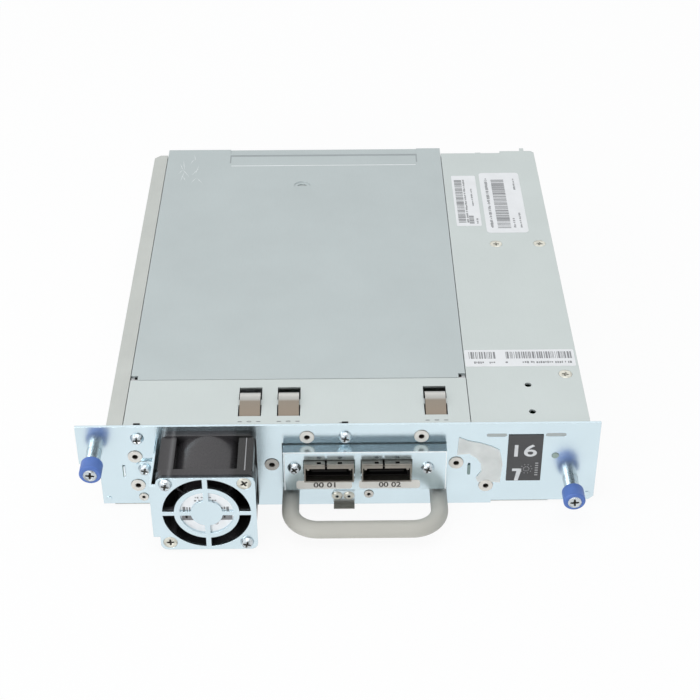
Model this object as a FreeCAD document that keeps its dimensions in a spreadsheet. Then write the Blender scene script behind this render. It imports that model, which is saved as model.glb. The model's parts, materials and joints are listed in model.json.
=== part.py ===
"""Half-height data tape drive in a library sled.

X runs to the right and Y away from someone who faces the service plate; Z is up.
The origin is on the underside of the tray, in the plate's centre plane, where the
back face of the service plate meets the tray.  Every size is in millimetres.
"""
import FreeCAD, Part
import os
import re
import Sketcher
from FreeCAD import Placement, Rotation, Vector

SIZES = {
    # service plate
    "plate_rise": 0.5, "plate_thick": 1.2, "ear_left": 13.1, "ear_right": 4.5,
    "corner_notch_width": 8.5, "corner_notch_top": 24.0, "plate_side_lift": 1.5,
    "plate_corner_cut": 2.0, "plate_middle_left": 77.0, "plate_middle_right": 10.0,
    "groove_width": 1.0, "groove_length": 6.5, "groove_depth": 0.6,
    "label_slot_length": 8.6, "label_slot_width": 1.7, "label_slot_one": 66.9, "label_slot_two": 91.9,
    "groove_left_x": -91.6, "groove_left_z": 19.8, "groove_right_x": 55.8, "groove_right_z": 19.4,
    "bump_left_x": -99.4, "bump_left_z": 4.3, "bump_right_x": 107.7, "bump_right_z": 4.7,
    "bump_radius": 1.2, "bump_height": 0.3, "cut_over": 1.0,
    # tray
    "tray_left": 97.4, "box_width": 50.0, "tray_depth": 231.0, "sheet_thick": 1.0,
    "sled_height": 43.5, "rail_width": 6.8, "rail_lip": 6.0, "rail_chamfer": 3.0, "bay_gap": 0.3,
    "nut_corner_width": 15.0, "nut_corner_depth": 12.0, "nut_corner_top": 24.0,
    # drive
    "drive_width": 146.0, "drive_depth": 205.0, "drive_front": 31.8, "drive_wall": 1.6,
    "cover_thick": 1.0, "cover_corner": 3.0, "deck_level": 7.0, "deck_thick": 2.0,
    "cover_step_left": 39.7, "cover_step_right": 60.3, "cover_step_depth": 4.8, "cover_step_drop": 0.4,
    "vent_radius": 2.4, "vent_x": 0.8, "vent_y": 38.8, "dimple_radius": 4.2, "dimple_depth": 0.3,
    "mouth_width": 107.0, "mouth_shift": 10.3, "mouth_bottom": 13.0, "mouth_drop": 3.0,
    "door_thick": 1.6, "door_gap": 1.0, "door_pin_radius": 1.0, "door_barrel_radius": 1.8,
    "door_bore_gap": 0.05, "bezel_depth": 6.0, "door_drop": 1.9, "door_seat": 3.0,
    "door_pin_grip": 2.5, "door_pin_play": 0.5,
    "mount_pitch_x": 139.7, "mount_pitch_y": 79.2, "mount_first": 52.0,
    "tape_case_width": 105.4,
    "carriage_wall": 1.0, "carriage_gap": 0.8, "carriage_drop": 3.0, "carriage_behind": 12.8,
    "carriage_depth": 96.0, "carriage_sill": 0.6, "carriage_side": 12.0, "pin_rise": 7.4,
    "pin_reach": 2.6, "pin_inset": 16.0, "motor_clearance": 1.0,
    "cam_thick": 1.2, "cam_travel": 14.0, "cam_length": 88.0, "cam_height": 15.0,
    "cam_below_pin": 10.7, "cam_lead": 2.0,
    "cam_pin_radius": 1.5, "cam_slot_gap": 0.05, "cam_side_gap": 0.4, "cam_slot_spare": 0.6,
    "reel_radius": 44.0, "reel_hub_radius": 22.0, "reel_height": 17.0, "reel_flange": 1.2,
    "reel_across": 23.3, "reel_ahead": 50.2, "reel_bore_radius": 3.0, "reel_shaft_gap": 0.05,
    "chuck_radius": 15.0, "chuck_height": 2.0, "chuck_rim": 4.0, "chuck_dish": 1.2, "chuck_behind": 54.8,
    "motor_radius": 20.0, "motor_height": 2.0, "reel_lift": 0.4,
    "roller_radius": 6.0, "roller_height": 14.0, "roller_bore": 1.5, "roller_gap": 0.05,
    "roller_flange": 1.0, "roller_waist": 0.8, "roller_level": 14.0, "roller_lift": 0.3,
    "roller_shoulder": 3.0, "roller_a_x": 44.7, "roller_a_y": 80.2, "roller_b_x": 52.7, "roller_b_y": 66.2,
    "roller_c_x": 52.7, "roller_c_y": 36.2, "roller_d_x": 40.7, "roller_d_y": 18.2,
    "head_width": 14.0, "head_depth": 10.0, "head_height": 16.0, "head_travel": 3.0, "head_lift": 0.3,
    "head_nose": 2.0, "head_across": 64.2, "head_ahead": 51.2,
    "head_post_radius": 1.5, "head_post_gap": 0.05, "head_post_step": 3.0,
    "head_post_spare": 1.0,
    "arm_length": 42.0, "arm_width": 8.0, "arm_thick": 2.0, "arm_pin_radius": 2.0,
    "arm_pin_gap": 0.05, "arm_across": 28.7, "arm_ahead": 91.2, "arm_shoulder": 1.5,
    "arm_level": 22.0, "arm_lift": 0.3, "arm_pin_spare": 1.0,
    "deck_edge": 1.0, "drive_board_side": 4.0, "drive_board_front": 5.0, "drive_board_back": 9.0,
    # strip and side cover
    "strip_gap": 0.3, "flange_depth": 10.5, "clip_window_width": 9.8, "clip_window_length": 19.8,
    "clip_window_front": 6.0, "clip_one": 37.5, "clip_two": 21.0, "clip_three": 41.6,
    "window_ear": 0.7, "window_ear_start": 5.5, "window_ear_end": 11.5,
    "clip_thick": 0.4, "clip_margin": 0.5, "clip_rise": 2.3, "clip_crest": 7.0, "clip_rear_gap": 1.6,
    "clip_tail": 2.6,
    "slot_length": 3.2, "slot_width": 1.2, "slot_one": 84.6, "slot_two": 2.1,
    "cover_flange": 6.0, "cover_hole_radius": 1.5, "cover_hole_in": 23.6,
    "cover_hole_front": 7.5, "cover_hole_rear": 26.1,
    "cover_lip_start": 31.8, "cover_lip_depth": 2.0, "cover_lip_corner": 1.6,
    "cover_tab_left": 42.7, "cover_tab_right": 44.8, "cover_tab_depth": 5.0,
    "cover_nib_left": 18.4, "cover_nib_right": 21.4, "cover_nib_depth": 0.6,
    # fan
    "fan_size": 40.0, "fan_depth": 28.3, "fan_middle_x": 54.4, "fan_middle_z": 21.7,
    "fan_flange": 3.6, "fan_lip": 1.4, "fan_skin": 0.1, "fan_hole_inset": 4.0,
    "fan_hole_radius": 1.75, "fan_corner": 3.0, "fan_channel": 6.1, "fan_boss_over": 0.5,
    "post_inset": 0.6, "post_width": 6.4,
    "fan_shaft_radius": 1.5, "fan_shaft_gap": 0.05, "bearing_wall": 2.0, "bearing_length": 10.0,
    "fan_end_wall": 1.0, "blade_tip_gap": 1.6, "blade_depth": 14.0, "hub_wall": 1.5, "hub_over": 2.0,
    "blade_count": 7, "blade_root": 0.7, "blade_end": 0.7, "blade_camber": 0.9,
    "blade_root_lean": 2.5, "blade_tip_lean": 4.1, "blade_root_thick": 1.0, "blade_tip_thick": 0.7,
    "strut_width": 2.4, "strut_lap": 0.5, "rotor_gap": 0.6,
    "guard_thick": 1.2, "guard_margin": 0.3, "guard_land": 0.8, "guard_slot": 4.8, "guard_ring_width": 2.3,
    "guard_inner_slot": 4.6, "guard_spoke": 2.1, "guard_drop": 0.9, "guard_over": 0.5,
    "guard_reach": 2.8, "guard_tab_low": 12.8, "guard_tab_high": 15.1, "guard_lap": 0.6,
    "guard_foot_reach": 5.3, "guard_foot_radius": 3.9, "guard_foot_rise": 0.3, "guard_wall": 1.0,
    "guard_screw_length": 6.0,
    "wire_radius": 0.45, "wire_pitch": 1.5, "wire_inset": 10.0, "wire_bend": 3.0, "wire_gap": 0.02,
    "wire_slot_over": 0.3, "plug_width": 8.0, "plug_length": 8.0,
    # ports
    "bracket_left": 23.4, "bracket_right": 45.7, "bracket_bottom": 13.1, "bracket_top": 33.9,
    "bracket_depth": 5.6, "bracket_sheet": 1.0,
    "cage_width": 21.1, "cage_height": 9.6, "cage_bottom": 19.9, "cage_depth": 19.0,
    "cage_proud": 3.0, "cage_wall": 0.6, "cage_one": 4.0, "cage_two": 20.3,
    "cage_gap": 0.3, "flap_drop": 2.9, "flap_depth": 3.4, "flap_slit": 0.8, "flap_side": 1.2,
    "flap_hole_length": 1.8, "flap_hole_width": 0.8, "plate_port_margin": 2.0,
    "socket_width": 17.8, "socket_height": 5.3, "socket_depth": 9.0, "tongue_thick": 1.0,
    "tongue_inset": 1.5, "socket_sill": 0.4, "insert_back": 3.6,
    "card_thick": 1.6, "card_gap": 1.4, "card_depth": 24.0,
    # handle
    "handle_radius": 3.7, "handle_left": 20.6, "handle_right": 42.9, "handle_level": 7.3,
    "handle_reach": 24.3, "handle_bend": 12.0, "handle_tap": 8.0, "handle_screw_length": 6.0,
    # captive thumbscrews
    "left_screw_in": 6.0, "left_screw_z": 30.3, "right_screw_in": 6.2, "right_screw_z": 13.1,
    "knob_radius": 4.67, "knob_length": 6.8, "knob_front": 15.0, "knob_wall": 1.4, "knob_round": 0.6,
    "ferrule_radius": 3.2, "ferrule_gap": 0.1, "ferrule_over": 0.9, "ferrule_flange_thick": 0.6,
    "ferrule_lap": 0.2, "screw_radius": 1.2, "screw_gap": 0.18, "screw_head_radius": 2.85,
    "screw_proud": 0.4, "thread_radius": 1.5, "thread_length": 3.0, "screw_end": 4.6,
    "ring_radius": 2.7, "ring_thick": 0.6, "ring_gap": 0.2, "ring_bore_gap": 0.05,
    "spring_wire": 0.3, "spring_floor": 0.5, "spring_turns": 3.0,
    # fasteners
    "pan_head_radius": 2.9, "pan_head_height": 1.9, "pan_head_slope": 0.9, "pan_shank_radius": 1.5,
    "nut_radius": 3.05, "nut_bore": 1.25, "nut_proud": 0.45, "nut_length": 2.2, "small_nut_radius": 2.0,
    "small_nut_bore": 0.8, "shank_length": 2.2, "flat_head_radius": 2.9, "fastener_gap": 0.1,
    "rivet_radius": 2.4, "rivet_bore": 0.8, "rivet_height": 0.6, "rivet_rise": 5.1,
    "rivet_left": 0.7, "rivet_right": 4.4,
    "hook_thick": 0.4, "hook_left": 2.2, "hook_width": 9.0, "hook_height": 8.0, "hook_reach": 3.6,
    "hook_bottom": 0.3,
    "top_row_drop": 6.2, "plate_screw_left": -84.7, "plate_screw_right": 2.9,
    "strip_nut_left": -13.2, "strip_nut_right": 35.1,
    "nut_a_x": -86.3, "nut_a_z": 27.9, "nut_b_x": -86.2, "nut_b_z": 12.0, "nut_c_x": -28.4, "nut_c_z": 22.9,
    "nut_d_x": 50.2, "nut_d_z": 23.0, "nut_e_x": 63.4, "nut_e_z": 10.1,
    "small_nut_a_x": -84.3, "small_nut_a_z": 5.3, "small_nut_b_x": 13.0, "small_nut_b_z": 5.8,
    "bracket_screw_a_x": -18.7, "bracket_screw_a_z": 25.6, "bracket_screw_b_x": 37.7,
    "bracket_screw_b_z": 25.1,
    "cover_screw_left": 22.1, "cover_screw_right": 6.5, "cover_screw_front": 33.6, "cover_screw_rear": 140.0,
    # right-hand box
    "board_thick": 1.6, "board_level": 8.0, "board_inset": 4.0, "board_front": 42.0, "board_back": 2.0,
    "standoff_radius": 2.5, "standoff_inset": 10.0, "standoff_first": 50.0, "standoff_last": 35.0,
    "dock_width": 34.0, "dock_height": 12.0, "dock_depth": 16.0, "dock_wall": 2.0,
    "dock_socket": 8.0, "dock_proud": 3.0, "dock_gap": 0.3,
    "pin_radius": 2.0, "pin_level": 28.0, "pin_side": 6.0, "pin_flange": 1.5, "pin_root": 2.0,
    "pin_length": 4.8, "pin_taper": 1.6,
    "lens_in": 13.7, "lens_z": 26.4, "lens_radius": 1.4, "lens_length": 8.0, "lens_gap": 0.1,
    "lens_proud": 0.3,
}

doc = FreeCAD.newDocument("tape_drive")
dims = doc.addObject("Spreadsheet::Sheet", "dims")
for row, (alias, size) in enumerate(SIZES.items(), start=1):
    dims.set("A%d" % row, alias)
    dims.set("B%d" % row, str(size))
    dims.setAlias("B%d" % row, alias)
doc.recompute()

PIECES = []


# ---------------------------------------------------------------- helpers
def bound(text):
    """Point every size name in an expression at the sheet."""
    return re.sub(r"\b([a-z]+_[a-z_]+)\b", r"dims.\1", str(text))


def value(text):
    return float(dims.evalExpression(bound(text)))


def bind(thing, path, text):
    thing.setExpression(path, bound(text))


def place(thing, x="0", y="0", z="0"):
    for axis, text in zip("xyz", (x, y, z)):
        bind(thing, ".Placement.Base." + axis, text)
    return thing


def keep(thing, label):
    """Name a finished sub-part, which is written to its own file."""
    thing.Label = label
    PIECES.append(thing)
    return thing


class Solid:
    """A PartDesign body with short ways to add its features."""

    def __init__(self, label):
        self.body = doc.addObject("PartDesign::Body", label)
        self.planes = {item.Role: item for item in self.body.Origin.OriginFeatures}
        self.count = 0

    def sketch(self, plane, offset="0"):
        """A sketch on an origin plane; offset is along +Z (XY), +Y (XZ) or +X (YZ)."""
        self.count += 1
        sk = self.body.newObject("Sketcher::SketchObject", "%s_s%d" % (self.body.Name, self.count))
        sk.AttachmentSupport = [(self.planes[plane + "_Plane"], "")]
        sk.MapMode = "FlatFace"
        sign = "-" if plane == "XZ" else ""
        bind(sk, ".AttachmentOffset.Base.z", "%s(%s)" % (sign, offset))
        return sk

    def grow(self, sk, length, kind="Pad"):
        """Pad or pocket a sketch by a length along the plane's own axis."""
        doc.recompute()
        made = self.body.newObject("PartDesign::" + kind, "%s_f%d" % (self.body.Name, self.count))
        made.Profile = sk
        front_view = sk.AttachmentSupport[0][0].Role == "XZ_Plane"
        made.Reversed = front_view == (kind == "Pad")
        bind(made, "Length", length)
        return made

    def slab(self, plane, low, thick, draw):
        """A pad from low to low + thick, of what draw puts in the sketch."""
        sk = self.sketch(plane, low)
        draw(sk)
        return self.grow(sk, thick)

    def cut(self, plane, low, thick, draw):
        """A pocket from low to low + thick."""
        sk = self.sketch(plane, low)
        draw(sk)
        doc.recompute()
        before = self.body.Shape.Volume
        made = self.grow(sk, thick, "Pocket")
        doc.recompute()
        if not self.body.Shape.Volume < before:
            raise RuntimeError("%s: a pocket cuts nothing" % self.body.Name)
        return made

    def turn(self, plane, profile):
        """Turn a profile of (radius, height) points about the sketch's vertical axis."""
        sk = self.sketch(plane)
        polygon(sk, profile)
        doc.recompute()
        made = self.body.newObject("PartDesign::Revolution", "%s_f%d" % (self.body.Name, self.count))
        made.Profile = sk
        made.ReferenceAxis = (sk, ["V_Axis"])
        made.Angle = 360
        return made

    def polar(self, features, axis, count):
        """Repeat features about one of the body's origin axes."""
        made = self.body.newObject("PartDesign::PolarPattern", self.body.Name + "_ring")
        made.Originals = features
        made.Axis = (self.planes[axis + "_Axis"], [""])
        made.Angle = 360
        made.Occurrences = count
        self.body.Tip = made
        return made

    def done(self, label, x="0", y="0", z="0"):
        place(self.body, x, y, z)
        return keep(self.body, label)


def radians(angle):
    return FreeCAD.Units.Quantity("%f deg" % angle).getValueAs("rad").Value


def arc(x, y, radius, start, sweep):
    """Part of a circle from a start angle, both angles in degrees."""
    ring = Part.Circle(Vector(x, y, 0), Vector(0, 0, 1), radius)
    return Part.ArcOfCircle(ring, radians(start), radians(start + sweep))


def pin_point(sk, line, end, x, y):
    """Tie one end of a line to a place measured from the sketch's origin."""
    for kind, text in (("DistanceX", x), ("DistanceY", y)):
        index = sk.addConstraint(Sketcher.Constraint(kind, -1, 1, line, end, value(text)))
        bind(sk, "Constraints[%d]" % index, text)


def polygon(sk, points):
    """A closed outline through points given as pairs of expressions."""
    spots = [Vector(value(x), value(y), 0) for x, y in points]
    first = sk.GeometryCount
    total = len(points)
    for i in range(total):
        sk.addGeometry(Part.LineSegment(spots[i], spots[(i + 1) % total]))
    for i in range(total):
        sk.addConstraint(Sketcher.Constraint("Coincident", first + i, 2, first + (i + 1) % total, 1))
    for i, (x, y) in enumerate(points):
        pin_point(sk, first + i, 1, x, y)


def rectangle(sk, left, right, low, high):
    polygon(sk, [(left, low), (right, low), (right, high), (left, high)])


def circle(sk, x, y, radius):
    middle = Vector(value(x), value(y), 0)
    index = sk.addGeometry(Part.Circle(middle, Vector(0, 0, 1), value(radius)))
    tie = sk.addConstraint(Sketcher.Constraint("Radius", index, value(radius)))
    bind(sk, "Constraints[%d]" % tie, radius)
    pin_point(sk, index, 3, x, y)


def round_rectangle(sk, left, right, low, high, radius):
    """A rectangle whose corners are tangent arcs of one radius."""
    x0, x1, y0, y1, r = (value(text) for text in (left, right, low, high, radius))
    turns = [(x1 - r, y0 + r, 270), (x1 - r, y1 - r, 0), (x0 + r, y1 - r, 90), (x0 + r, y0 + r, 180)]
    ends = [((x0 + r, y0), (x1 - r, y0)), ((x1, y0 + r), (x1, y1 - r)),
            ((x1 - r, y1), (x0 + r, y1)), ((x0, y1 - r), (x0, y0 + r))]
    first = sk.GeometryCount
    for (a, b), (cx, cy, start) in zip(ends, turns):
        sk.addGeometry(Part.LineSegment(Vector(a[0], a[1], 0), Vector(b[0], b[1], 0)))
        sk.addGeometry(arc(cx, cy, r, start, 90))
    for i in range(4):
        line, bend, after = first + 2 * i, first + 2 * i + 1, first + (2 * i + 2) % 8
        sk.addConstraint(Sketcher.Constraint("Tangent", line, 2, bend, 1))
        sk.addConstraint(Sketcher.Constraint("Tangent", bend, 2, after, 1))
        level = "Horizontal" if i % 2 == 0 else "Vertical"
        sk.addConstraint(Sketcher.Constraint(level, line))
        if i:
            sk.addConstraint(Sketcher.Constraint("Equal", first + 1, bend))
    tie = sk.addConstraint(Sketcher.Constraint("Radius", first + 1, r))
    bind(sk, "Constraints[%d]" % tie, radius)
    for line, kind, text in ((first, "DistanceY", low), (first + 4, "DistanceY", high),
                             (first + 2, "DistanceX", right), (first + 6, "DistanceX", left)):
        tie = sk.addConstraint(Sketcher.Constraint(kind, -1, 1, line, 1, value(text)))
        bind(sk, "Constraints[%d]" % tie, text)


def block(label, x0, x1, y0, y1, z0, z1):
    """A plain box primitive between six expressions."""
    box = doc.addObject("Part::Box", label)
    for name, low, high in (("Length", x0, x1), ("Width", y0, y1), ("Height", z0, z1)):
        bind(box, name, "(%s) - (%s)" % (high, low))
    return place(box, x0, y0, z0)


AIM = {"X": Rotation(Vector(0, 1, 0), 90), "Y": Rotation(Vector(1, 0, 0), -90), "Z": Rotation()}


def rod(label, radius, length, axis, x, y, z):
    """A cylinder primitive that starts at a point and runs along one axis."""
    made = doc.addObject("Part::Cylinder", label)
    made.Placement = Placement(Vector(), AIM[axis])
    bind(made, "Radius", radius)
    bind(made, "Height", length)
    return place(made, x, y, z)


def slot(sk, x, y, length, width):
    """A round-ended slot whose length runs along the sketch's first axis."""
    x0, y0, long, wide = (value(text) for text in (x, y, length, width))
    reach, radius = (long - wide) / 2, wide / 2
    first = sk.GeometryCount
    left, right = Vector(x0 - reach, y0, 0), Vector(x0 + reach, y0, 0)
    rise = Vector(0, radius, 0)
    sk.addGeometry(Part.LineSegment(left - rise, right - rise))
    sk.addGeometry(arc(x0 + reach, y0, radius, -90, 180))
    sk.addGeometry(Part.LineSegment(right + rise, left + rise))
    sk.addGeometry(arc(x0 - reach, y0, radius, 90, 180))
    for i in range(4):
        sk.addConstraint(Sketcher.Constraint("Tangent", first + i, 2, first + (i + 1) % 4, 1))
    sk.addConstraint(Sketcher.Constraint("Horizontal", first))
    tie = sk.addConstraint(Sketcher.Constraint("Radius", first + 1, radius))
    bind(sk, "Constraints[%d]" % tie, "(%s) / 2" % width)
    pin_point(sk, first + 3, 3, "(%s) - ((%s) - (%s)) / 2" % (x, length, width), y)
    tie = sk.addConstraint(Sketcher.Constraint("DistanceX", -1, 1, first + 1, 3, value(x) + reach))
    bind(sk, "Constraints[%d]" % tie, "(%s) + ((%s) - (%s)) / 2" % (x, length, width))


def half_disc(sk, x, y, radius):
    """The half of a disc that lies above its level diameter."""
    middle, r = Vector(value(x), value(y), 0), value(radius)
    first = sk.GeometryCount
    sk.addGeometry(arc(middle.x, middle.y, r, 0, 180))
    sk.addGeometry(Part.LineSegment(middle - Vector(r, 0, 0), middle + Vector(r, 0, 0)))
    sk.addConstraint(Sketcher.Constraint("Coincident", first, 2, first + 1, 1))
    sk.addConstraint(Sketcher.Constraint("Coincident", first + 1, 2, first, 1))
    sk.addConstraint(Sketcher.Constraint("Horizontal", first + 1))
    sk.addConstraint(Sketcher.Constraint("PointOnObject", first, 3, first + 1))
    tie = sk.addConstraint(Sketcher.Constraint("Radius", first, r))
    bind(sk, "Constraints[%d]" % tie, radius)
    pin_point(sk, first, 3, x, y)


def group(label, parts):
    """Identical fasteners kept as separate solids of one sub-part."""
    made = doc.addObject("Part::Compound", label)
    made.Links = parts
    return keep(made, label)


# ---------------------------------------------------------------- shared places
PLATE_FRONT = "(-plate_thick)"
PLATE_TOP = "(sled_height + plate_rise)"
PLATE_LEFT = "(-tray_left - ear_left)"
RAIL_EDGE = "(rail_width - tray_left)"
DRIVE_LEFT = "(rail_width - tray_left + bay_gap)"
DRIVE_RIGHT = "(rail_width - tray_left + bay_gap + drive_width)"
DRIVE_MIDDLE = "(rail_width - tray_left + bay_gap + drive_width / 2)"
BOX_LEFT = "(rail_width - tray_left + 2 * bay_gap + drive_width)"
TRAY_RIGHT = "(rail_width - tray_left + 2 * bay_gap + drive_width + box_width)"
PLATE_RIGHT = "(rail_width - tray_left + 2 * bay_gap + drive_width + box_width + ear_right)"
DRIVE_BACK = "(drive_front + drive_depth)"
DECK_TOP = "(sheet_thick + deck_level)"
DECK_FACE = "(sheet_thick + deck_level + deck_thick)"
MOTOR_TOP = "(sheet_thick + deck_level + deck_thick + motor_height)"
COVER_UNDER = "(sled_height - cover_thick)"
MOUTH_X = "(rail_width - tray_left + bay_gap + drive_width / 2 + mouth_shift)"
MOUTH_LEFT = "(%s - mouth_width / 2)" % MOUTH_X
MOUTH_RIGHT = "(%s + mouth_width / 2)" % MOUTH_X
MOUTH_TOP = "(sled_height - mouth_drop)"
FAN_X = "(-fan_middle_x)"
FAN_Z = "fan_middle_z"
FAN_LEFT = "(-fan_middle_x - fan_size / 2)"
FAN_RIGHT = "(-fan_middle_x + fan_size / 2)"
FAN_FRONT = "(-plate_thick - fan_depth)"
FAN_BORE = "(fan_size / 2 - fan_lip)"
FAN_HUB = "(fan_size / 2 - fan_lip - fan_channel)"
FAN_HOLES = "(fan_size / 2 - fan_hole_inset)"
GUARD_FRONT = "(-plate_thick - fan_depth - guard_thick)"
GUARD_OUTER = "min(%s - guard_margin; %s * sqrt(2) - flat_head_radius - guard_land)" % (FAN_BORE, FAN_HOLES)
GUARD_RING = "(%s - guard_slot)" % GUARD_OUTER
GUARD_DISC = "(%s - guard_ring_width - guard_inner_slot)" % GUARD_RING
TAB_LEFT = "(-fan_middle_x - fan_size / 2 - guard_reach)"
WIRE_LOWEST = "(fan_middle_z - fan_size / 2 + wire_inset)"
BRACKET_FACE = "(-plate_thick - bracket_depth)"
CAGE_CENTRES = ("(-cage_one)", "cage_two")
CAGE_FRONT = "(-plate_thick - bracket_depth - cage_proud)"
INSERT_FRONT = "(-plate_thick - bracket_depth - cage_proud + insert_back)"
KNOB_FACE = "(-plate_thick - knob_front)"
LEFT_SCREW = ("(-tray_left - left_screw_in)", "left_screw_z")
RIGHT_SCREW = ("(%s - right_screw_in)" % TRAY_RIGHT, "right_screw_z")
LENS_X = "(%s - lens_in)" % TRAY_RIGHT
CLIPS = ("(-clip_one)", "(-clip_two)", "clip_three")
TOP_ROW = "(%s - top_row_drop)" % PLATE_TOP
STRIP_NUTS = (("strip_nut_left", TOP_ROW), ("strip_nut_right", TOP_ROW))
PLATE_NUTS = STRIP_NUTS + tuple(("nut_%s_x" % name, "nut_%s_z" % name) for name in "abcde")
SMALL_NUTS = tuple(("small_nut_%s_x" % name, "small_nut_%s_z" % name) for name in "ab")
PLATE_SCREWS = (("plate_screw_left", TOP_ROW), ("plate_screw_right", TOP_ROW))
LABEL_SLOTS = (("label_slot_one", TOP_ROW), ("label_slot_two", TOP_ROW))
GROOVES = tuple(("groove_%s_x" % side, "groove_%s_z" % side) for side in ("left", "right"))
BUMPS = tuple(("bump_%s_x" % side, "bump_%s_z" % side) for side in ("left", "right"))
FOOT_SCREW = ("(%s - guard_foot_reach)" % TAB_LEFT, "(fan_middle_z + guard_foot_rise)")
BRACKET_SCREWS = tuple(("bracket_screw_%s_x" % name, "bracket_screw_%s_z" % name) for name in "ab")
HANDLE_ENDS = ("(-handle_left)", "handle_right")
COVER_SCREWS = (("(%s + cover_screw_left)" % BOX_LEFT, "cover_screw_rear"),
                ("(%s - cover_screw_right)" % TRAY_RIGHT, "cover_screw_rear"),
                ("(%s - cover_screw_right)" % TRAY_RIGHT, "cover_screw_front"))
REEL = ("(%s + reel_across)" % DRIVE_MIDDLE, "(drive_front + reel_ahead)")
CHUCK = (MOUTH_X, "(%s - chuck_behind)" % DRIVE_BACK)
ROLLERS = tuple(("(%s - roller_%s_x)" % (DRIVE_MIDDLE, name), "(drive_front + roller_%s_y)" % name)
                for name in "abcd")
HEAD = ("(%s - head_across)" % DRIVE_MIDDLE, "(drive_front + head_ahead)")
ARM = ("(%s - arm_across)" % DRIVE_MIDDLE, "(drive_front + arm_ahead)")
STANDOFFS = tuple((x, y) for x in ("(%s + standoff_inset)" % BOX_LEFT, "(%s - standoff_inset)" % TRAY_RIGHT)
                  for y in ("standoff_first", "(tray_depth - standoff_last)"))
DOOR_AXIS = ("(%s - door_seat)" % DRIVE_BACK, "(%s - door_drop)" % MOUTH_TOP)
CARRIAGE_LEFT = "(%s - tape_case_width / 2 - carriage_gap - carriage_wall)" % MOUTH_X
CARRIAGE_RIGHT = "(%s + tape_case_width / 2 + carriage_gap + carriage_wall)" % MOUTH_X
CARRIAGE_FLOOR = "(mouth_bottom + carriage_sill)"
CARRIAGE_BACK = "(%s - carriage_behind)" % DRIVE_BACK
CARRIAGE_FRONT = "(%s - carriage_depth)" % CARRIAGE_BACK
PIN_HEIGHT = "(%s + pin_rise)" % CARRIAGE_FLOOR
PIN_SPOTS = ("(%s - pin_inset)" % CARRIAGE_BACK, "(%s + pin_inset + cam_travel)" % CARRIAGE_FRONT)
BOARD_TOP = "(board_level + board_thick)"
DOCK_X = "((%s + %s) / 2)" % (BOX_LEFT, TRAY_RIGHT)
GUIDE_PINS = ("(%s + pin_side)" % BOX_LEFT, "(%s - pin_side)" % TRAY_RIGHT)


def drive_holes():
    """The four underside mounting holes of a half-height drive."""
    for side in (-1, 1):
        x = "(%s + %d * mount_pitch_x / 2)" % (DRIVE_MIDDLE, side)
        for step in (0, 1):
            yield x, "(%s - mount_first - %d * mount_pitch_y)" % (DRIVE_BACK, step)


# ---------------------------------------------------------------- sled
def make_tray():
    tray = Solid("tray")
    inner_left, inner_right = "sheet_thick - tray_left", TRAY_RIGHT + " - sheet_thick"
    lip = RAIL_EDGE + " - sheet_thick"
    under = "sled_height - sheet_thick"
    section = [("-tray_left", "0"), (TRAY_RIGHT, "0"), (TRAY_RIGHT, COVER_UNDER),
               (inner_right, COVER_UNDER), (inner_right, "sheet_thick"),
               (inner_left, "sheet_thick"), (inner_left, under), (lip, under),
               (lip, "sled_height - rail_lip"), (RAIL_EDGE, "sled_height - rail_lip"),
               (RAIL_EDGE, "sled_height"), ("-tray_left", "sled_height")]
    tray.slab("XZ", "0", "tray_depth", lambda sk: polygon(sk, section))

    def standoffs(sk):
        for x, y in STANDOFFS:
            circle(sk, x, y, "standoff_radius")
    tray.slab("XY", "sheet_thick", "board_level - sheet_thick", standoffs)

    def rail_corner(sk):
        """The rail's outer rear corner is cropped at 45 degrees."""
        polygon(sk, [("-tray_left", "tray_depth - rail_chamfer"), ("rail_chamfer - tray_left", "tray_depth"),
                     ("-tray_left", "tray_depth")])
    tray.cut("XY", "sled_height - rail_lip", "rail_lip", rail_corner)

    def nut_corner(sk):
        rectangle(sk, TRAY_RIGHT + " - nut_corner_width", TRAY_RIGHT + " + cut_over",
                  "-cut_over", "nut_corner_depth")
    tray.cut("XY", "0", "nut_corner_top", nut_corner)

    def screw_holes(sk):
        for x, y in drive_holes():
            circle(sk, x, y, "flat_head_radius + fastener_gap")
    tray.cut("XY", "0", "sheet_thick", screw_holes)
    tray.done("tray")


def make_front_strip():
    strip = Solid("front_strip")
    left, right = DRIVE_LEFT, DRIVE_RIGHT
    back = "drive_front - strip_gap"
    section = [("0", "sled_height - flange_depth"), ("sheet_thick", "sled_height - flange_depth"),
               ("sheet_thick", COVER_UNDER), (back, COVER_UNDER), (back, "sled_height"),
               ("0", "sled_height")]
    strip.slab("YZ", left, "%s - %s" % (right, left), lambda sk: polygon(sk, section))

    def windows(sk):
        """Each window has a shallow ear on both sides, part way along."""
        front = "clip_window_front"
        back = "clip_window_front + clip_window_length"
        near, far = "clip_window_front + window_ear_start", "clip_window_front + window_ear_end"
        for x in CLIPS:
            left, right = x + " - clip_window_width / 2", x + " + clip_window_width / 2"
            left_ear, right_ear = left + " - window_ear", right + " + window_ear"
            polygon(sk, [(left, front), (right, front), (right, near), (right_ear, near),
                         (right_ear, far), (right, far), (right, back), (left, back), (left, far),
                         (left_ear, far), (left_ear, near), (left, near)])
    strip.cut("XY", COVER_UNDER, "cover_thick", windows)

    def edge_slots(sk):
        for x in ("-slot_one", "slot_two"):
            rectangle(sk, x + " - slot_length / 2", x + " + slot_length / 2", "-cut_over", "slot_width")
    strip.cut("XY", COVER_UNDER, "cover_thick", edge_slots)

    def flange_holes(sk):
        for x, z in STRIP_NUTS:
            circle(sk, x, z, "nut_radius + fastener_gap")
        for x, z in PLATE_SCREWS:
            circle(sk, x, z, "pan_shank_radius + fastener_gap")
        circle(sk, FAN_X, FAN_Z, FAN_BORE)
    strip.cut("XZ", "0", "sheet_thick", flange_holes)
    strip.done("front_strip")


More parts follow.
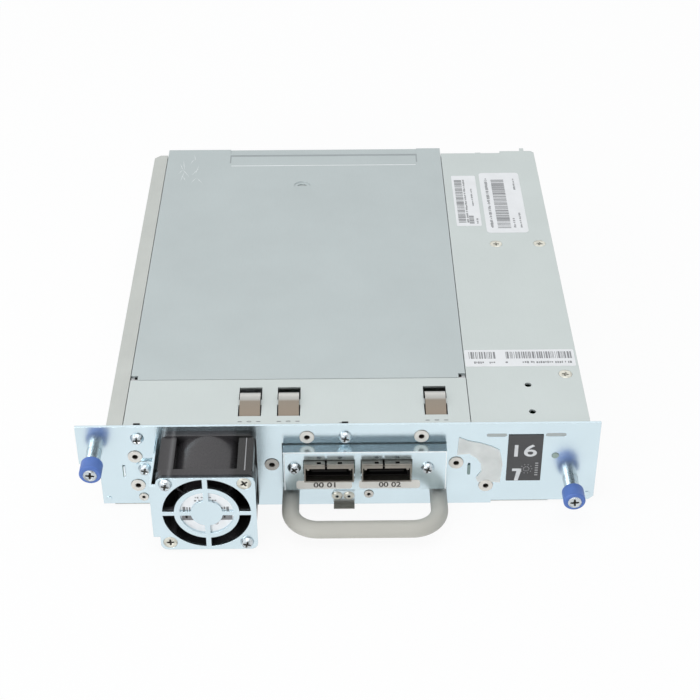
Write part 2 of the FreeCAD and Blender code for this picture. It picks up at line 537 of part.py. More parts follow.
def make_side_cover():
    cover = Solid("side_cover")
    wall = BOX_LEFT + " + sheet_thick"
    inside = TRAY_RIGHT + " - sheet_thick - bay_gap"
    section = [(BOX_LEFT, "sheet_thick"), (wall, "sheet_thick"), (wall, COVER_UNDER),
               (inside + " - sheet_thick", COVER_UNDER),
               (inside + " - sheet_thick", COVER_UNDER + " - cover_flange"),
               (inside, COVER_UNDER + " - cover_flange"), (inside, COVER_UNDER),
               (TRAY_RIGHT, COVER_UNDER), (TRAY_RIGHT, "sled_height"), (BOX_LEFT, "sled_height")]
    cover.slab("XZ", "0", "tray_depth", lambda sk: polygon(sk, section))

    def rear_edge(sk):
        """The lid's lip, its locating tab and a nib stand out behind the box."""
        inside, lip = "tray_depth - cut_over", "tray_depth + cover_lip_depth"
        tab = "tray_depth + cover_tab_depth"
        start = BOX_LEFT + " + cover_lip_start"
        left, right = BOX_LEFT + " + cover_tab_left", BOX_LEFT + " + cover_tab_right"
        polygon(sk, [(start, inside), (TRAY_RIGHT, inside), (TRAY_RIGHT, lip + " - cover_lip_corner"),
                     (TRAY_RIGHT + " - cover_lip_corner", lip), (right, lip), (right, tab), (left, tab),
                     (left, lip), (start, lip)])
        rectangle(sk, BOX_LEFT + " + cover_nib_left", BOX_LEFT + " + cover_nib_right",
                  inside, "tray_depth + cover_nib_depth")
    cover.slab("XY", COVER_UNDER, "cover_thick", rear_edge)

    def holes(sk):
        for x, y in COVER_SCREWS:
            circle(sk, x, y, "flat_head_radius + fastener_gap")
        for y in ("cover_hole_front", "cover_hole_rear"):
            circle(sk, TRAY_RIGHT + " - cover_hole_in", y, "cover_hole_radius")
    cover.cut("XY", COVER_UNDER, "cover_thick", holes)
    cover.done("side_cover")


def flat_screw(label, x, y, z, head_depth, upwards):
    """A flush-headed screw about Z; the head fills a sheet of head_depth."""
    screw = Solid(label)
    turn = "" if upwards else "-"
    heights = [turn + "(%s)" % text for text in ("0", head_depth, head_depth + " + shank_length")]
    screw.turn("XZ", [("0", heights[0]), ("flat_head_radius", heights[0]),
                      ("flat_head_radius", heights[1]), ("pan_shank_radius", heights[1]),
                      ("pan_shank_radius", heights[2]), ("0", heights[2])])
    return place(screw.body, x, y, z)


def pan_screw(label, x, y, z, shank="shank_length"):
    """A pan-headed screw about Y whose head stands out towards the viewer from y."""
    screw = Solid(label)
    screw.turn("XY", [("0", "-pan_head_height"), ("pan_head_radius - pan_head_slope", "-pan_head_height"),
                      ("pan_head_radius", "0"), ("pan_shank_radius", "0"), ("pan_shank_radius", shank),
                      ("0", shank)])
    return place(screw.body, x, y, z)


def press_nut(label, x, z, radius, bore):
    """A round nut pressed through the plate, standing a little proud of its front."""
    nut = Solid(label)
    nut.turn("XY", [(bore, "-nut_proud"), (radius, "-nut_proud"), (radius, "nut_length"),
                    (bore, "nut_length")])
    return place(nut.body, x, PLATE_FRONT, z)


def make_fasteners():
    group("cover_screws", [flat_screw("cover_screw_%d" % i, x, y, "sled_height", "cover_thick", False)
                           for i, (x, y) in enumerate(COVER_SCREWS)])
    group("drive_screws", [flat_screw("drive_screw_%d" % i, x, y, "0", "sheet_thick", True)
                           for i, (x, y) in enumerate(drive_holes())])
    group("plate_screws", [pan_screw("plate_screw_%d" % i, x, PLATE_FRONT, z)
                           for i, (x, z) in enumerate(PLATE_SCREWS)]
          + [pan_screw("foot_screw", FOOT_SCREW[0], "-plate_thick - guard_thick", FOOT_SCREW[1])])
    group("bracket_screws", [pan_screw("bracket_screw_%d" % i, x, BRACKET_FACE, z)
                             for i, (x, z) in enumerate(BRACKET_SCREWS)])
    group("plate_nuts", [press_nut("plate_nut_%d" % i, x, z, "nut_radius", "nut_bore")
                         for i, (x, z) in enumerate(PLATE_NUTS)]
          + [press_nut("small_nut_%d" % i, x, z, "small_nut_radius", "small_nut_bore")
             for i, (x, z) in enumerate(SMALL_NUTS)])


def make_faceplate():
    plate = Solid("faceplate")
    notch = PLATE_LEFT + " + corner_notch_width"
    middle_right = BOX_LEFT + " + plate_middle_right"
    outline = [(notch, "plate_side_lift"), ("-plate_middle_left", "plate_side_lift"),
               ("-plate_middle_left", "0"), (middle_right, "0"),
               (middle_right, "plate_side_lift"), (PLATE_RIGHT + " - plate_corner_cut", "plate_side_lift"),
               (PLATE_RIGHT, "plate_side_lift + plate_corner_cut"), (PLATE_RIGHT, PLATE_TOP),
               (PLATE_LEFT, PLATE_TOP), (PLATE_LEFT, "corner_notch_top"), (notch, "corner_notch_top")]

    def draw(sk):
        polygon(sk, outline)
        circle(sk, FAN_X, FAN_Z, FAN_BORE)
        for x, z in PLATE_NUTS:
            circle(sk, x, z, "nut_radius + fastener_gap / 2")
        for x, z in SMALL_NUTS:
            circle(sk, x, z, "small_nut_radius + fastener_gap / 2")
        for x, z in PLATE_SCREWS + (FOOT_SCREW,):
            circle(sk, x, z, "pan_shank_radius + fastener_gap")
        for x, z in (LEFT_SCREW, RIGHT_SCREW):
            circle(sk, x, z, "ferrule_radius + ferrule_gap / 2")
        for x in HANDLE_ENDS:
            circle(sk, x, "handle_level", "pan_shank_radius + fastener_gap")
        circle(sk, LENS_X, "lens_z", "lens_radius + lens_gap")
        rectangle(sk, "-cage_one - cage_width / 2 - plate_port_margin",
                  "cage_two + cage_width / 2 + plate_port_margin",
                  "cage_bottom - card_thick - plate_port_margin / 2",
                  "cage_bottom + cage_height + plate_port_margin")
        rectangle(sk, TAB_LEFT + " + guard_wall", FAN_LEFT,
                  WIRE_LOWEST + " - wire_radius - wire_slot_over",
                  WIRE_LOWEST + " + 2 * wire_pitch + wire_radius + wire_slot_over")
        for x, z in LABEL_SLOTS:
            slot(sk, x, z, "label_slot_length", "label_slot_width")
    plate.slab("XZ", PLATE_FRONT, "plate_thick", draw)

    def grooves(sk):
        for x, z in GROOVES:
            rectangle(sk, x + " - groove_width / 2", x + " + groove_width / 2",
                      z + " - groove_length / 2", z + " + groove_length / 2")
    plate.cut("XZ", PLATE_FRONT, "groove_depth", grooves)

    def bumps(sk):
        for x, z in BUMPS:
            circle(sk, x, z, "bump_radius")
    plate.slab("XZ", "-plate_thick - bump_height", "bump_height", bumps)
    plate.done("faceplate")


# ---------------------------------------------------------------- clips
def leaf(label, x):
    """A sprung ground leaf that rises through its window in the front strip."""
    clip = Solid(label)
    top, crest = COVER_UNDER, "sled_height + clip_rise"
    front = "sheet_thick + strip_gap"
    start, end = "clip_window_front", "clip_window_front + clip_window_length - clip_rear_gap"
    rise, fall = end + " - clip_crest", end + " - clip_tail"
    upper = [(front, top), (start, top), (rise, crest), (fall, crest), (end, top + " - clip_thick")]
    lower = [(end + " - clip_thick", top + " - clip_thick"),
             (fall + " - clip_thick / 2", crest + " - clip_thick"),
             (rise + " + clip_thick / 4", crest + " - clip_thick"), (start, top + " - clip_thick"),
             (front, top + " - clip_thick")]
    width = "clip_window_width - 2 * clip_margin"
    clip.slab("YZ", "-(%s) / 2" % width, width, lambda sk: polygon(sk, upper + lower))
    return place(clip.body, x)


def make_clips():
    group("top_clips", [leaf("top_clip_%d" % i, x) for i, x in enumerate(CLIPS)])
    clip = Solid("bottom_clip")
    face = "-plate_thick - hook_thick"
    section = [(face, "hook_bottom + 2 * hook_thick"), (face, "hook_height"), (PLATE_FRONT, "hook_height"),
               (PLATE_FRONT, "hook_bottom + hook_thick"), ("-plate_thick - hook_reach", "hook_bottom"),
               ("-plate_thick - hook_reach", "hook_bottom + hook_thick")]
    clip.slab("YZ", "-hook_left", "hook_width", lambda sk: polygon(sk, section))
    clip.done("bottom_clip")
    rivets = []
    for i, x in enumerate(("(-rivet_left)", "rivet_right")):
        rivet = Solid("clip_rivet_%d" % i)
        rivet.turn("XY", [("rivet_bore", "-rivet_height"), ("rivet_radius - rivet_bore", "-rivet_height"),
                          ("rivet_radius", "0"), ("rivet_bore", "0")])
        rivets.append(place(rivet.body, x, face, "rivet_rise"))
    group("clip_rivets", rivets)


# ---------------------------------------------------------------- fan
def fan_corners():
    """The four screw places; the last number tells one diagonal from the other."""
    for sx in (-1, 1):
        for sz in (-1, 1):
            yield "(%s + %d * %s)" % (FAN_X, sx, FAN_HOLES), "(%s + %d * %s)" % (FAN_Z, sz, FAN_HOLES), sx, sz


def fan_square(sk, right=FAN_RIGHT, top="(fan_middle_z + fan_size / 2)"):
    round_rectangle(sk, FAN_LEFT, right, "fan_middle_z - fan_size / 2", top, "fan_corner")


def cross_bar(sk, half_width, half_height):
    """A bar centred on the fan's axis."""
    rectangle(sk, "%s - %s" % (FAN_X, half_width), "%s + %s" % (FAN_X, half_width),
              "%s - %s" % (FAN_Z, half_height), "%s + %s" % (FAN_Z, half_height))


def make_fan_frame():
    frame = Solid("fan_frame")
    inner, between = FAN_FRONT + " + fan_flange", "fan_depth - 2 * fan_flange"
    frame.slab("XZ", FAN_FRONT, "fan_flange", fan_square)
    frame.slab("XZ", inner, between, lambda sk: circle(sk, FAN_X, FAN_Z, "fan_size / 2 - fan_skin"))
    for _, _, sx, sz in fan_corners():
        def post(sk):
            edge, root = "(fan_size / 2 - post_inset)", "(fan_size / 2 - post_inset - post_width)"
            across = ["(%s + %d * %s)" % (FAN_X, sx, reach) for reach in (root, edge)[::sx]]
            along = ["(%s + %d * %s)" % (FAN_Z, sz, reach) for reach in (root, edge)[::sz]]
            rectangle(sk, *across, *along)
        frame.slab("XZ", inner, between, post)
    frame.slab("XZ", "-plate_thick - fan_flange", "fan_flange", fan_square)

    def duct(sk):
        circle(sk, FAN_X, FAN_Z, FAN_BORE)
        for x, z, _, _ in fan_corners():
            circle(sk, x, z, "fan_hole_radius")
    frame.cut("XZ", FAN_FRONT, "fan_depth", duct)
    reach = "(%s + strut_lap)" % FAN_BORE
    web = "fan_flange / 2"
    frame.slab("XZ", FAN_FRONT, web, lambda sk: cross_bar(sk, reach, "strut_width / 2"))
    frame.slab("XZ", FAN_FRONT, web, lambda sk: cross_bar(sk, "strut_width / 2", reach))
    frame.slab("XZ", FAN_FRONT, web, lambda sk: circle(sk, FAN_X, FAN_Z, FAN_HUB + " + fan_boss_over"))
    frame.slab("XZ", FAN_FRONT, web + " + bearing_length",
               lambda sk: circle(sk, FAN_X, FAN_Z, "fan_shaft_radius + bearing_wall"))
    frame.cut("XZ", FAN_FRONT + " + fan_end_wall", web + " + bearing_length - fan_end_wall",
              lambda sk: circle(sk, FAN_X, FAN_Z, "fan_shaft_radius + fan_shaft_gap"))
    frame.done("fan_frame")


def make_fan_rotor():
    """A cup with a closed back that turns on its shaft and carries twisted, cambered blades."""
    rotor = Solid("fan_rotor")
    front = "(fan_flange / 2 + rotor_gap)"
    back = "(%s + blade_depth + hub_over)" % front
    end = back + " - hub_wall"
    shaft_end = "fan_end_wall + rotor_gap"
    cup = FAN_HUB + " - hub_wall"
    rotor.turn("XY", [("0", shaft_end), ("fan_shaft_radius", shaft_end), ("fan_shaft_radius", end),
                      (cup, end), (cup, front), (FAN_HUB, front), (FAN_HUB, back), ("0", back)])
    middle = "((%s + %s) / 2)" % (front, back)
    ahead = middle + " - blade_depth / 2 + blade_end"
    behind = middle + " + blade_depth / 2 - blade_end"

    def section(lean, thick):
        """A thin cambered blade section, leaning about its middle."""
        return [(ahead, "-" + lean), (middle, "-blade_camber"), (behind, lean),
                (behind, "%s + %s" % (lean, thick)), (middle, "%s - blade_camber" % thick),
                (ahead, "%s - %s" % (thick, lean))]
    root = rotor.sketch("YZ", FAN_HUB + " - blade_root")
    polygon(root, section("blade_root_lean", "blade_root_thick"))
    tip = rotor.sketch("YZ", FAN_BORE + " - blade_tip_gap")
    polygon(tip, section("blade_tip_lean", "blade_tip_thick"))
    doc.recompute()
    blade = rotor.body.newObject("PartDesign::AdditiveLoft", "fan_blade")
    blade.Profile = root
    blade.Sections = [tip]
    blade.Ruled = True
    doc.recompute()
    rotor.polar([blade], "Y", int(value("blade_count")))
    rotor.done("fan_rotor", FAN_X, FAN_FRONT, FAN_Z)


def make_fan_bracket():
    bracket = Solid("fan_bracket")
    low, high = "fan_middle_z - guard_tab_low", "fan_middle_z + guard_tab_high"

    def plate(sk):
        fan_square(sk, FAN_RIGHT + " + guard_over", "(fan_middle_z + fan_size / 2 - guard_drop)")
        circle(sk, FAN_X, FAN_Z, GUARD_OUTER)
        for x, z, sx, sz in fan_corners():
            circle(sk, x, z, "pan_shank_radius + fastener_gap" if sx != sz
                   else "flat_head_radius + fastener_gap")
    bracket.slab("XZ", GUARD_FRONT, "guard_thick", plate)
    reach = "(%s + strut_lap)" % GUARD_OUTER
    bracket.slab("XZ", GUARD_FRONT, "guard_thick", lambda sk: cross_bar(sk, reach, "guard_spoke / 2"))
    bracket.slab("XZ", GUARD_FRONT, "guard_thick", lambda sk: cross_bar(sk, "guard_spoke / 2", reach))

    def ring(sk):
        circle(sk, FAN_X, FAN_Z, GUARD_RING)
        circle(sk, FAN_X, FAN_Z, GUARD_RING + " - guard_ring_width")
    bracket.slab("XZ", GUARD_FRONT, "guard_thick", ring)
    bracket.slab("XZ", GUARD_FRONT, "guard_thick", lambda sk: circle(sk, FAN_X, FAN_Z, GUARD_DISC))
    bracket.slab("XZ", GUARD_FRONT, "guard_thick", lambda sk: rectangle(
        sk, TAB_LEFT, FAN_LEFT + " + guard_lap", low, high))
    bracket.slab("YZ", TAB_LEFT, "guard_wall", lambda sk: rectangle(sk, GUARD_FRONT, PLATE_FRONT, low, high))
    x, z = FOOT_SCREW
    foot = "-plate_thick - guard_thick"
    bracket.slab("XZ", foot, "guard_thick", lambda sk: circle(sk, x, z, "guard_foot_radius"))
    bracket.slab("XZ", foot, "guard_thick", lambda sk: rectangle(
        sk, x, TAB_LEFT + " + guard_wall", z + " - guard_foot_radius", z + " + guard_foot_radius"))
    bracket.cut("XZ", foot, "guard_thick", lambda sk: circle(sk, x, z, "pan_shank_radius + fastener_gap"))
    bracket.done("fan_bracket")
    screws = []
    for i, (x, z, sx, sz) in enumerate(fan_corners()):
        if sx != sz:
            screws.append(pan_screw("guard_screw_%d" % i, x, GUARD_FRONT, z, shank="guard_screw_length"))
        else:
            flat = Solid("guard_screw_%d" % i)
            flat.turn("XY", [("0", "0"), ("flat_head_radius", "0"), ("flat_head_radius", "guard_thick"),
                             ("pan_shank_radius", "guard_thick"), ("pan_shank_radius", "guard_screw_length"),
                             ("0", "guard_screw_length")])
            screws.append(place(flat.body, x, GUARD_FRONT, z))
    group("guard_screws", screws)


def make_fan_wires():
    """Three leads from the barrel, round one bend and back through the plate to their plug."""
    lane = value("(%s + guard_wall + %s) / 2" % (TAB_LEFT, FAN_LEFT))
    start, bend = value(FAN_FRONT + " + 2 * fan_flange"), value("wire_bend")
    leads = []
    for i in range(3):
        level = "(%s + %d * wire_pitch)" % (WIRE_LOWEST, i)
        nearest = "(%s - %s - wire_radius)" % (FAN_Z, level)
        skin = value("%s - sqrt((fan_size / 2 - fan_skin) ^ 2 - %s ^ 2) - wire_gap" % (FAN_X, nearest))
        z = value(level)
        middle = Vector(lane + bend, start + bend, z)
        turn = [Vector(lane + bend, start, z), middle - Vector(bend, bend, 0) * 0.5 ** 0.5,
                Vector(lane, start + bend, z)]
        spine = Part.Wire([Part.makeLine(Vector(skin, start, z), turn[0]), Part.Arc(*turn).toShape(),
                           Part.makeLine(turn[2], Vector(lane, 0, z))])
        ring = Part.Wire(Part.makeCircle(value("wire_radius"), Vector(skin, start, z), Vector(-1, 0, 0)))
        leads.append(spine.makePipe(Part.Face(ring)))
    wires = doc.addObject("Part::Feature", "fan_wires")
    wires.Shape = Part.makeCompound(leads)
    keep(wires, "fan_wires")
    plug_left = "(%s + guard_wall + %s - plug_width) / 2" % (TAB_LEFT, FAN_LEFT)
    keep(block("fan_plug", plug_left, plug_left + " + plug_width", "0", "plug_length",
               WIRE_LOWEST + " - wire_pitch", WIRE_LOWEST + " + 3 * wire_pitch"), "fan_plug")


# ---------------------------------------------------------------- ports
def make_port_bracket():
    bracket = Solid("port_bracket")
    low, high = "bracket_bottom", "bracket_top"

    def wrap(sk):
        inner_left, inner_right = "-bracket_left + bracket_sheet", "bracket_right - bracket_sheet"
        polygon(sk, [("-bracket_left", BRACKET_FACE), ("bracket_right", BRACKET_FACE),
                     ("bracket_right", PLATE_FRONT), (inner_right, PLATE_FRONT),
                     (inner_right, BRACKET_FACE + " + bracket_sheet"),
                     (inner_left, BRACKET_FACE + " + bracket_sheet"), (inner_left, PLATE_FRONT),
                     ("-bracket_left", PLATE_FRONT)])
    bracket.slab("XY", low, "%s - %s" % (high, low), wrap)
    bracket.slab("XY", high + " - bracket_sheet", "bracket_sheet", lambda sk: rectangle(
        sk, "-bracket_left", "bracket_right", BRACKET_FACE, PLATE_FRONT))

    def holes(sk):
        for x in CAGE_CENTRES:
            rectangle(sk, x + " - cage_width / 2 - cage_gap", x + " + cage_width / 2 + cage_gap",
                      "cage_bottom - cage_gap", "cage_bottom + cage_height + cage_gap")
        for x, z in BRACKET_SCREWS:
            circle(sk, x, z, "pan_shank_radius + fastener_gap")
    bracket.cut("XZ", BRACKET_FACE, "bracket_sheet", holes)
    bracket.done("port_bracket")


def make_cage(letter, x):
    """A folded metal cage; two flaps slope inwards from its top edge over the mouth."""
    cage = Solid("port_cage_" + letter)
    left, right = x + " - cage_width / 2", x + " + cage_width / 2"
    top = "cage_bottom + cage_height"
    cage.slab("XZ", CAGE_FRONT, "cage_depth", lambda sk: rectangle(sk, left, right, "cage_bottom", top))

    def hollow(sk):
        rectangle(sk, left + " + cage_wall", right + " - cage_wall",
                  "cage_bottom + cage_wall", top + " - cage_wall")
    cage.cut("XZ", CAGE_FRONT, "cage_depth", hollow)
    ceiling = top + " - cage_wall"
    slope = [(CAGE_FRONT, ceiling), (CAGE_FRONT, top), (CAGE_FRONT + " + cage_wall", top),
             (CAGE_FRONT + " + flap_depth", ceiling + " - flap_drop"),
             (CAGE_FRONT + " + flap_depth - cage_wall", ceiling + " - flap_drop")]
    half = "cage_width / 2 - flap_side - flap_slit / 2"
    for start in (left + " + flap_side", x + " + flap_slit / 2"):
        cage.slab("YZ", start, half, lambda sk: polygon(sk, slope))

    def flap_holes(sk):
        for side in (-1, 1):
            middle = "%s + %d * cage_width / 4" % (x, side)
            rectangle(sk, middle + " - flap_hole_length / 2", middle + " + flap_hole_length / 2",
                      CAGE_FRONT + " + flap_depth / 2 - flap_hole_width / 2",
                      CAGE_FRONT + " + flap_depth / 2 + flap_hole_width / 2")
    cage.cut("XY", ceiling + " - flap_drop", "flap_drop - cage_wall / 2", flap_holes)
    cage.done("port_cage_" + letter)


def make_insert(letter, x):
    """The moulded socket inside a cage, with its contact tongue."""
    insert = Solid("port_insert_" + letter)
    low = "cage_bottom + cage_wall"
    insert.slab("XZ", INSERT_FRONT, "cage_depth - insert_back", lambda sk: rectangle(
        sk, x + " - cage_width / 2 + cage_wall", x + " + cage_width / 2 - cage_wall",
        low, "cage_bottom + cage_height - cage_wall"))

    def cavity(sk):
        left, right = x + " - socket_width / 2", x + " + socket_width / 2"
        middle = low + " + socket_height / 2"
        rectangle(sk, left, right, low + " + socket_sill", low + " + socket_height")
        rectangle(sk, left + " + tongue_inset", right + " - tongue_inset",
                  middle + " - tongue_thick / 2", middle + " + tongue_thick / 2")
    insert.cut("XZ", INSERT_FRONT, "socket_depth", cavity)
    insert.done("port_insert_" + letter)


def make_ports():
    for letter, x in zip("ab", CAGE_CENTRES):
        make_cage(letter, x)
        make_insert(letter, x)
    keep(block("port_card", "-bracket_left", "bracket_right", "card_gap", "card_gap + card_depth",
               "cage_bottom - card_thick", "cage_bottom"), "port_card")


def make_handle():
    handle = Solid("handle")
    spine = handle.sketch("XY", "handle_level")
    reach = "-plate_thick - handle_reach"
    left, right = "-handle_left", "handle_right"
    x0, x1, y0, y1, r = (value(t) for t in (left, right, reach, PLATE_FRONT, "handle_bend"))
    spine.addGeometry(Part.LineSegment(Vector(x0, y1, 0), Vector(x0, y0 + r, 0)))
    spine.addGeometry(arc(x0 + r, y0 + r, r, 180, 90))
    spine.addGeometry(Part.LineSegment(Vector(x0 + r, y0, 0), Vector(x1 - r, y0, 0)))
    spine.addGeometry(arc(x1 - r, y0 + r, r, -90, 90))
    spine.addGeometry(Part.LineSegment(Vector(x1, y0 + r, 0), Vector(x1, y1, 0)))
    for a, b in ((0, 1), (1, 2), (2, 3), (3, 4)):
        spine.addConstraint(Sketcher.Constraint("Tangent", a, 2, b, 1))
    spine.addConstraint(Sketcher.Constraint("Vertical", 0))
    spine.addConstraint(Sketcher.Constraint("Vertical", 4))
    spine.addConstraint(Sketcher.Constraint("Horizontal", 2))
    spine.addConstraint(Sketcher.Constraint("Equal", 1, 3))
    tie = spine.addConstraint(Sketcher.Constraint("Radius", 1, r))
    bind(spine, "Constraints[%d]" % tie, "handle_bend")
    pin_point(spine, 0, 1, left, PLATE_FRONT)
    pin_point(spine, 4, 2, right, PLATE_FRONT)
    tie = spine.addConstraint(Sketcher.Constraint("DistanceY", -1, 1, 2, 1, y0))
    bind(spine, "Constraints[%d]" % tie, reach)
    ring = handle.sketch("XZ", PLATE_FRONT)
    circle(ring, left, "handle_level", "handle_radius")
    doc.recompute()
    bar = handle.body.newObject("PartDesign::AdditivePipe", "handle_bar")
    bar.Profile = ring
    bar.Spine = spine
    doc.recompute()

    def taps(sk):
        for x in HANDLE_ENDS:
            circle(sk, x, "handle_level", "pan_shank_radius + fastener_gap")
    handle.cut("XZ", "-plate_thick - handle_tap", "handle_tap", taps)
    handle.done("handle")
    screws = []
    for i, x in enumerate(HANDLE_ENDS):
        screw = Solid("handle_screw_%d" % i)
        tip = "-plate_thick - handle_screw_length"
        screw.turn("XY", [("0", tip), ("pan_shank_radius", tip),
                          ("pan_shank_radius", "0"), ("pan_head_radius", "0"),
                          ("pan_head_radius - pan_head_slope", "pan_head_height"), ("0", "pan_head_height")])
        screws.append(place(screw.body, x, "0", "handle_level"))
    group("handle_screws", screws)


# ---------------------------------------------------------------- captive thumbscrews
def make_thumbscrew(side, x, z):
    """A captive screw: fixed ferrule, turning screw and knob, and a spring that pushes them out."""
    knob_back = "(-plate_thick - knob_front + knob_length)"
    head_back = "(-plate_thick - knob_front + knob_wall)"
    spring_seat = head_back + " + spring_floor"
    ferrule_front = knob_back + " - ferrule_lap"
    socket = "ferrule_radius + ferrule_gap"
    ferrule = Solid(side + "_ferrule")
    bore = "screw_radius + screw_gap"
    rim = "ferrule_radius + ferrule_over"
    ferrule.turn("XY", [(bore, ferrule_front), ("ferrule_radius", ferrule_front), ("ferrule_radius", "0"),
                        (rim, "0"), (rim, "ferrule_flange_thick"), (bore, "ferrule_flange_thick")])
    ferrule.done(side + "_ferrule", x, "0", z)
    knob = Solid(side + "_knob")
    knob.turn("XY", [("screw_head_radius", KNOB_FACE), ("knob_radius - knob_round", KNOB_FACE),
                     ("knob_radius", KNOB_FACE + " + knob_round"), ("knob_radius", knob_back),
                     (socket, knob_back), (socket, spring_seat), ("screw_radius", spring_seat),
                     ("screw_radius", head_back), ("screw_head_radius", head_back)])
    knob.done(side + "_knob", x, "0", z)
    screw = Solid(side + "_screw")
    face, thread = KNOB_FACE + " - screw_proud", "screw_end - thread_length"
    screw.turn("XY", [("0", face), ("screw_head_radius", face), ("screw_head_radius", head_back),
                      ("screw_radius", head_back), ("screw_radius", thread), ("thread_radius", thread),
                      ("thread_radius", "screw_end"), ("0", "screw_end")])
    screw.done(side + "_screw", x, "0", z)
    ring = Solid(side + "_ring")
    start, inner = "ferrule_flange_thick + ring_gap", "screw_radius + ring_bore_gap"
    ring.turn("XY", [(inner, start), ("ring_radius", start), ("ring_radius", start + " + ring_thick"),
                     (inner, start + " + ring_thick")])
    ring.done(side + "_ring", x, "0", z)
    low, high = value(spring_seat + " + spring_wire"), value(ferrule_front + " - spring_wire")
    coil_radius = value("(screw_radius + %s) / 2" % socket)
    coil = Part.makeHelix((high - low) / value("spring_turns"), high - low, coil_radius)
    half = value("spring_wire / 2")
    section = [Vector(coil_radius + dx, 0, dz) for dx, dz in
               ((-half, -half), (half, -half), (half, half), (-half, half), (-half, -half))]
    spring = doc.addObject("Part::Feature", side + "_spring")
    spring.Shape = Part.Wire(coil).makePipeShell([Part.makePolygon(section)], True, True)
    spring.Placement = Placement(Vector(value(x), low, value(z)), AIM["Y"])
    keep(spring, side + "_spring")


# ---------------------------------------------------------------- drive
def make_drive_case():
    case = Solid("drive_chassis")
    low = "sheet_thick + cover_thick"

    def walls(sk):
        rectangle(sk, DRIVE_LEFT, DRIVE_RIGHT, "drive_front", DRIVE_BACK)
        rectangle(sk, DRIVE_LEFT + " + drive_wall", DRIVE_RIGHT + " - drive_wall",
                  "drive_front + drive_wall", DRIVE_BACK + " - bezel_depth")
    case.slab("XY", low, "%s - (%s)" % (COVER_UNDER, low), walls)
    case.slab("XY", DECK_TOP, "deck_thick", lambda sk: rectangle(
        sk, DRIVE_LEFT + " + deck_edge", DRIVE_RIGHT + " - deck_edge",
        "drive_front + deck_edge", DRIVE_BACK + " - deck_edge"))

    def shoulders(sk):
        for x, y in ROLLERS:
            circle(sk, x, y, "roller_shoulder")
    case.slab("XY", DECK_FACE, "roller_level - roller_lift - %s" % DECK_FACE, shoulders)

    def posts(sk):
        for x, y in ROLLERS:
            circle(sk, x, y, "roller_bore")
    case.slab("XY", DECK_FACE, "roller_level + roller_height - %s" % DECK_FACE, posts)

    def head_rail(sk):
        for side in "-+":
            circle(sk, HEAD[0], "%s %s head_post_step" % (HEAD[1], side), "head_post_radius")
    case.slab("XY", DECK_FACE, "head_lift + head_height + head_travel + head_post_spare", head_rail)
    case.slab("XY", DECK_FACE, "arm_level + arm_lift + arm_thick + arm_pin_spare",
              lambda sk: circle(sk, ARM[0], ARM[1], "arm_pin_radius"))
    case.slab("XY", DECK_FACE, "arm_level",
              lambda sk: circle(sk, ARM[0], ARM[1], "arm_pin_radius + arm_shoulder"))
    case.cut("XZ", DRIVE_BACK + " - bezel_depth", "bezel_depth",
             lambda sk: rectangle(sk, MOUTH_LEFT, MOUTH_RIGHT, "mouth_bottom", MOUTH_TOP))
    grip = "door_pin_grip + door_pin_play"
    case.cut("YZ", "%s - (%s)" % (MOUTH_LEFT, grip), "mouth_width + 2 * (%s)" % grip,
             lambda sk: circle(sk, DOOR_AXIS[0], DOOR_AXIS[1], "door_pin_radius + door_bore_gap"))
    case.done("drive_chassis")

    bottom = Solid("drive_bottom")

    def sheet(sk):
        rectangle(sk, DRIVE_LEFT, DRIVE_RIGHT, "drive_front", DRIVE_BACK)
        for x, y in drive_holes():
            circle(sk, x, y, "pan_shank_radius + fastener_gap")
    bottom.slab("XY", "sheet_thick", "cover_thick", sheet)
    bottom.done("drive_bottom")
    make_drive_cover()
    keep(block("drive_board", DRIVE_LEFT + " + drive_board_side", DRIVE_RIGHT + " - drive_board_side",
               "drive_front + drive_board_front", DRIVE_BACK + " - drive_board_back",
               DECK_TOP + " - board_thick", DECK_TOP), "drive_board")


def make_drive_cover():
    """The drive's lid: notched front corners, a dimple with a vent and a lowered rear edge."""
    cover = Solid("drive_cover")
    front, corner = "drive_front", "drive_front + cover_corner"
    left, right = DRIVE_LEFT + " + cover_corner", DRIVE_RIGHT + " - cover_corner"
    vent = ("(%s - vent_x)" % DRIVE_MIDDLE, "(%s - vent_y)" % DRIVE_BACK)

    def top(sk):
        polygon(sk, [(DRIVE_LEFT, corner), (left, corner), (left, front), (right, front), (right, corner),
                     (DRIVE_RIGHT, corner), (DRIVE_RIGHT, DRIVE_BACK), (DRIVE_LEFT, DRIVE_BACK)])
        half_disc(sk, vent[0], vent[1], "vent_radius")
    cover.slab("XY", COVER_UNDER, "cover_thick", top)
    cover.cut("XY", "sled_height - dimple_depth", "dimple_depth",
              lambda sk: circle(sk, vent[0], vent[1], "dimple_radius"))
    cover.cut("XY", "sled_height - cover_step_drop", "cover_step_drop", lambda sk: rectangle(
        sk, DRIVE_MIDDLE + " - cover_step_left", DRIVE_MIDDLE + " + cover_step_right",
        DRIVE_BACK + " - cover_step_depth", DRIVE_BACK + " + cut_over"))
    cover.done("drive_cover")


def make_door():
    pin = rod("door_pin", "door_pin_radius", "mouth_width + 2 * door_pin_grip", "X",
              MOUTH_LEFT + " - door_pin_grip", *DOOR_AXIS)
    keep(pin, "door_pin")
    door = Solid("cartridge_door")
    left = MOUTH_LEFT + " + door_gap"
    width = "mouth_width - 2 * door_gap"
    y, z = DOOR_AXIS
    door.slab("YZ", left, width, lambda sk: rectangle(
        sk, y + " - door_thick / 2", y + " + door_thick / 2", "mouth_bottom + door_gap", z))
    door.slab("YZ", left, width, lambda sk: circle(sk, y, z, "door_barrel_radius"))
    door.cut("YZ", left, width, lambda sk: circle(sk, y, z, "door_pin_radius + door_bore_gap"))
    door.done("cartridge_door")


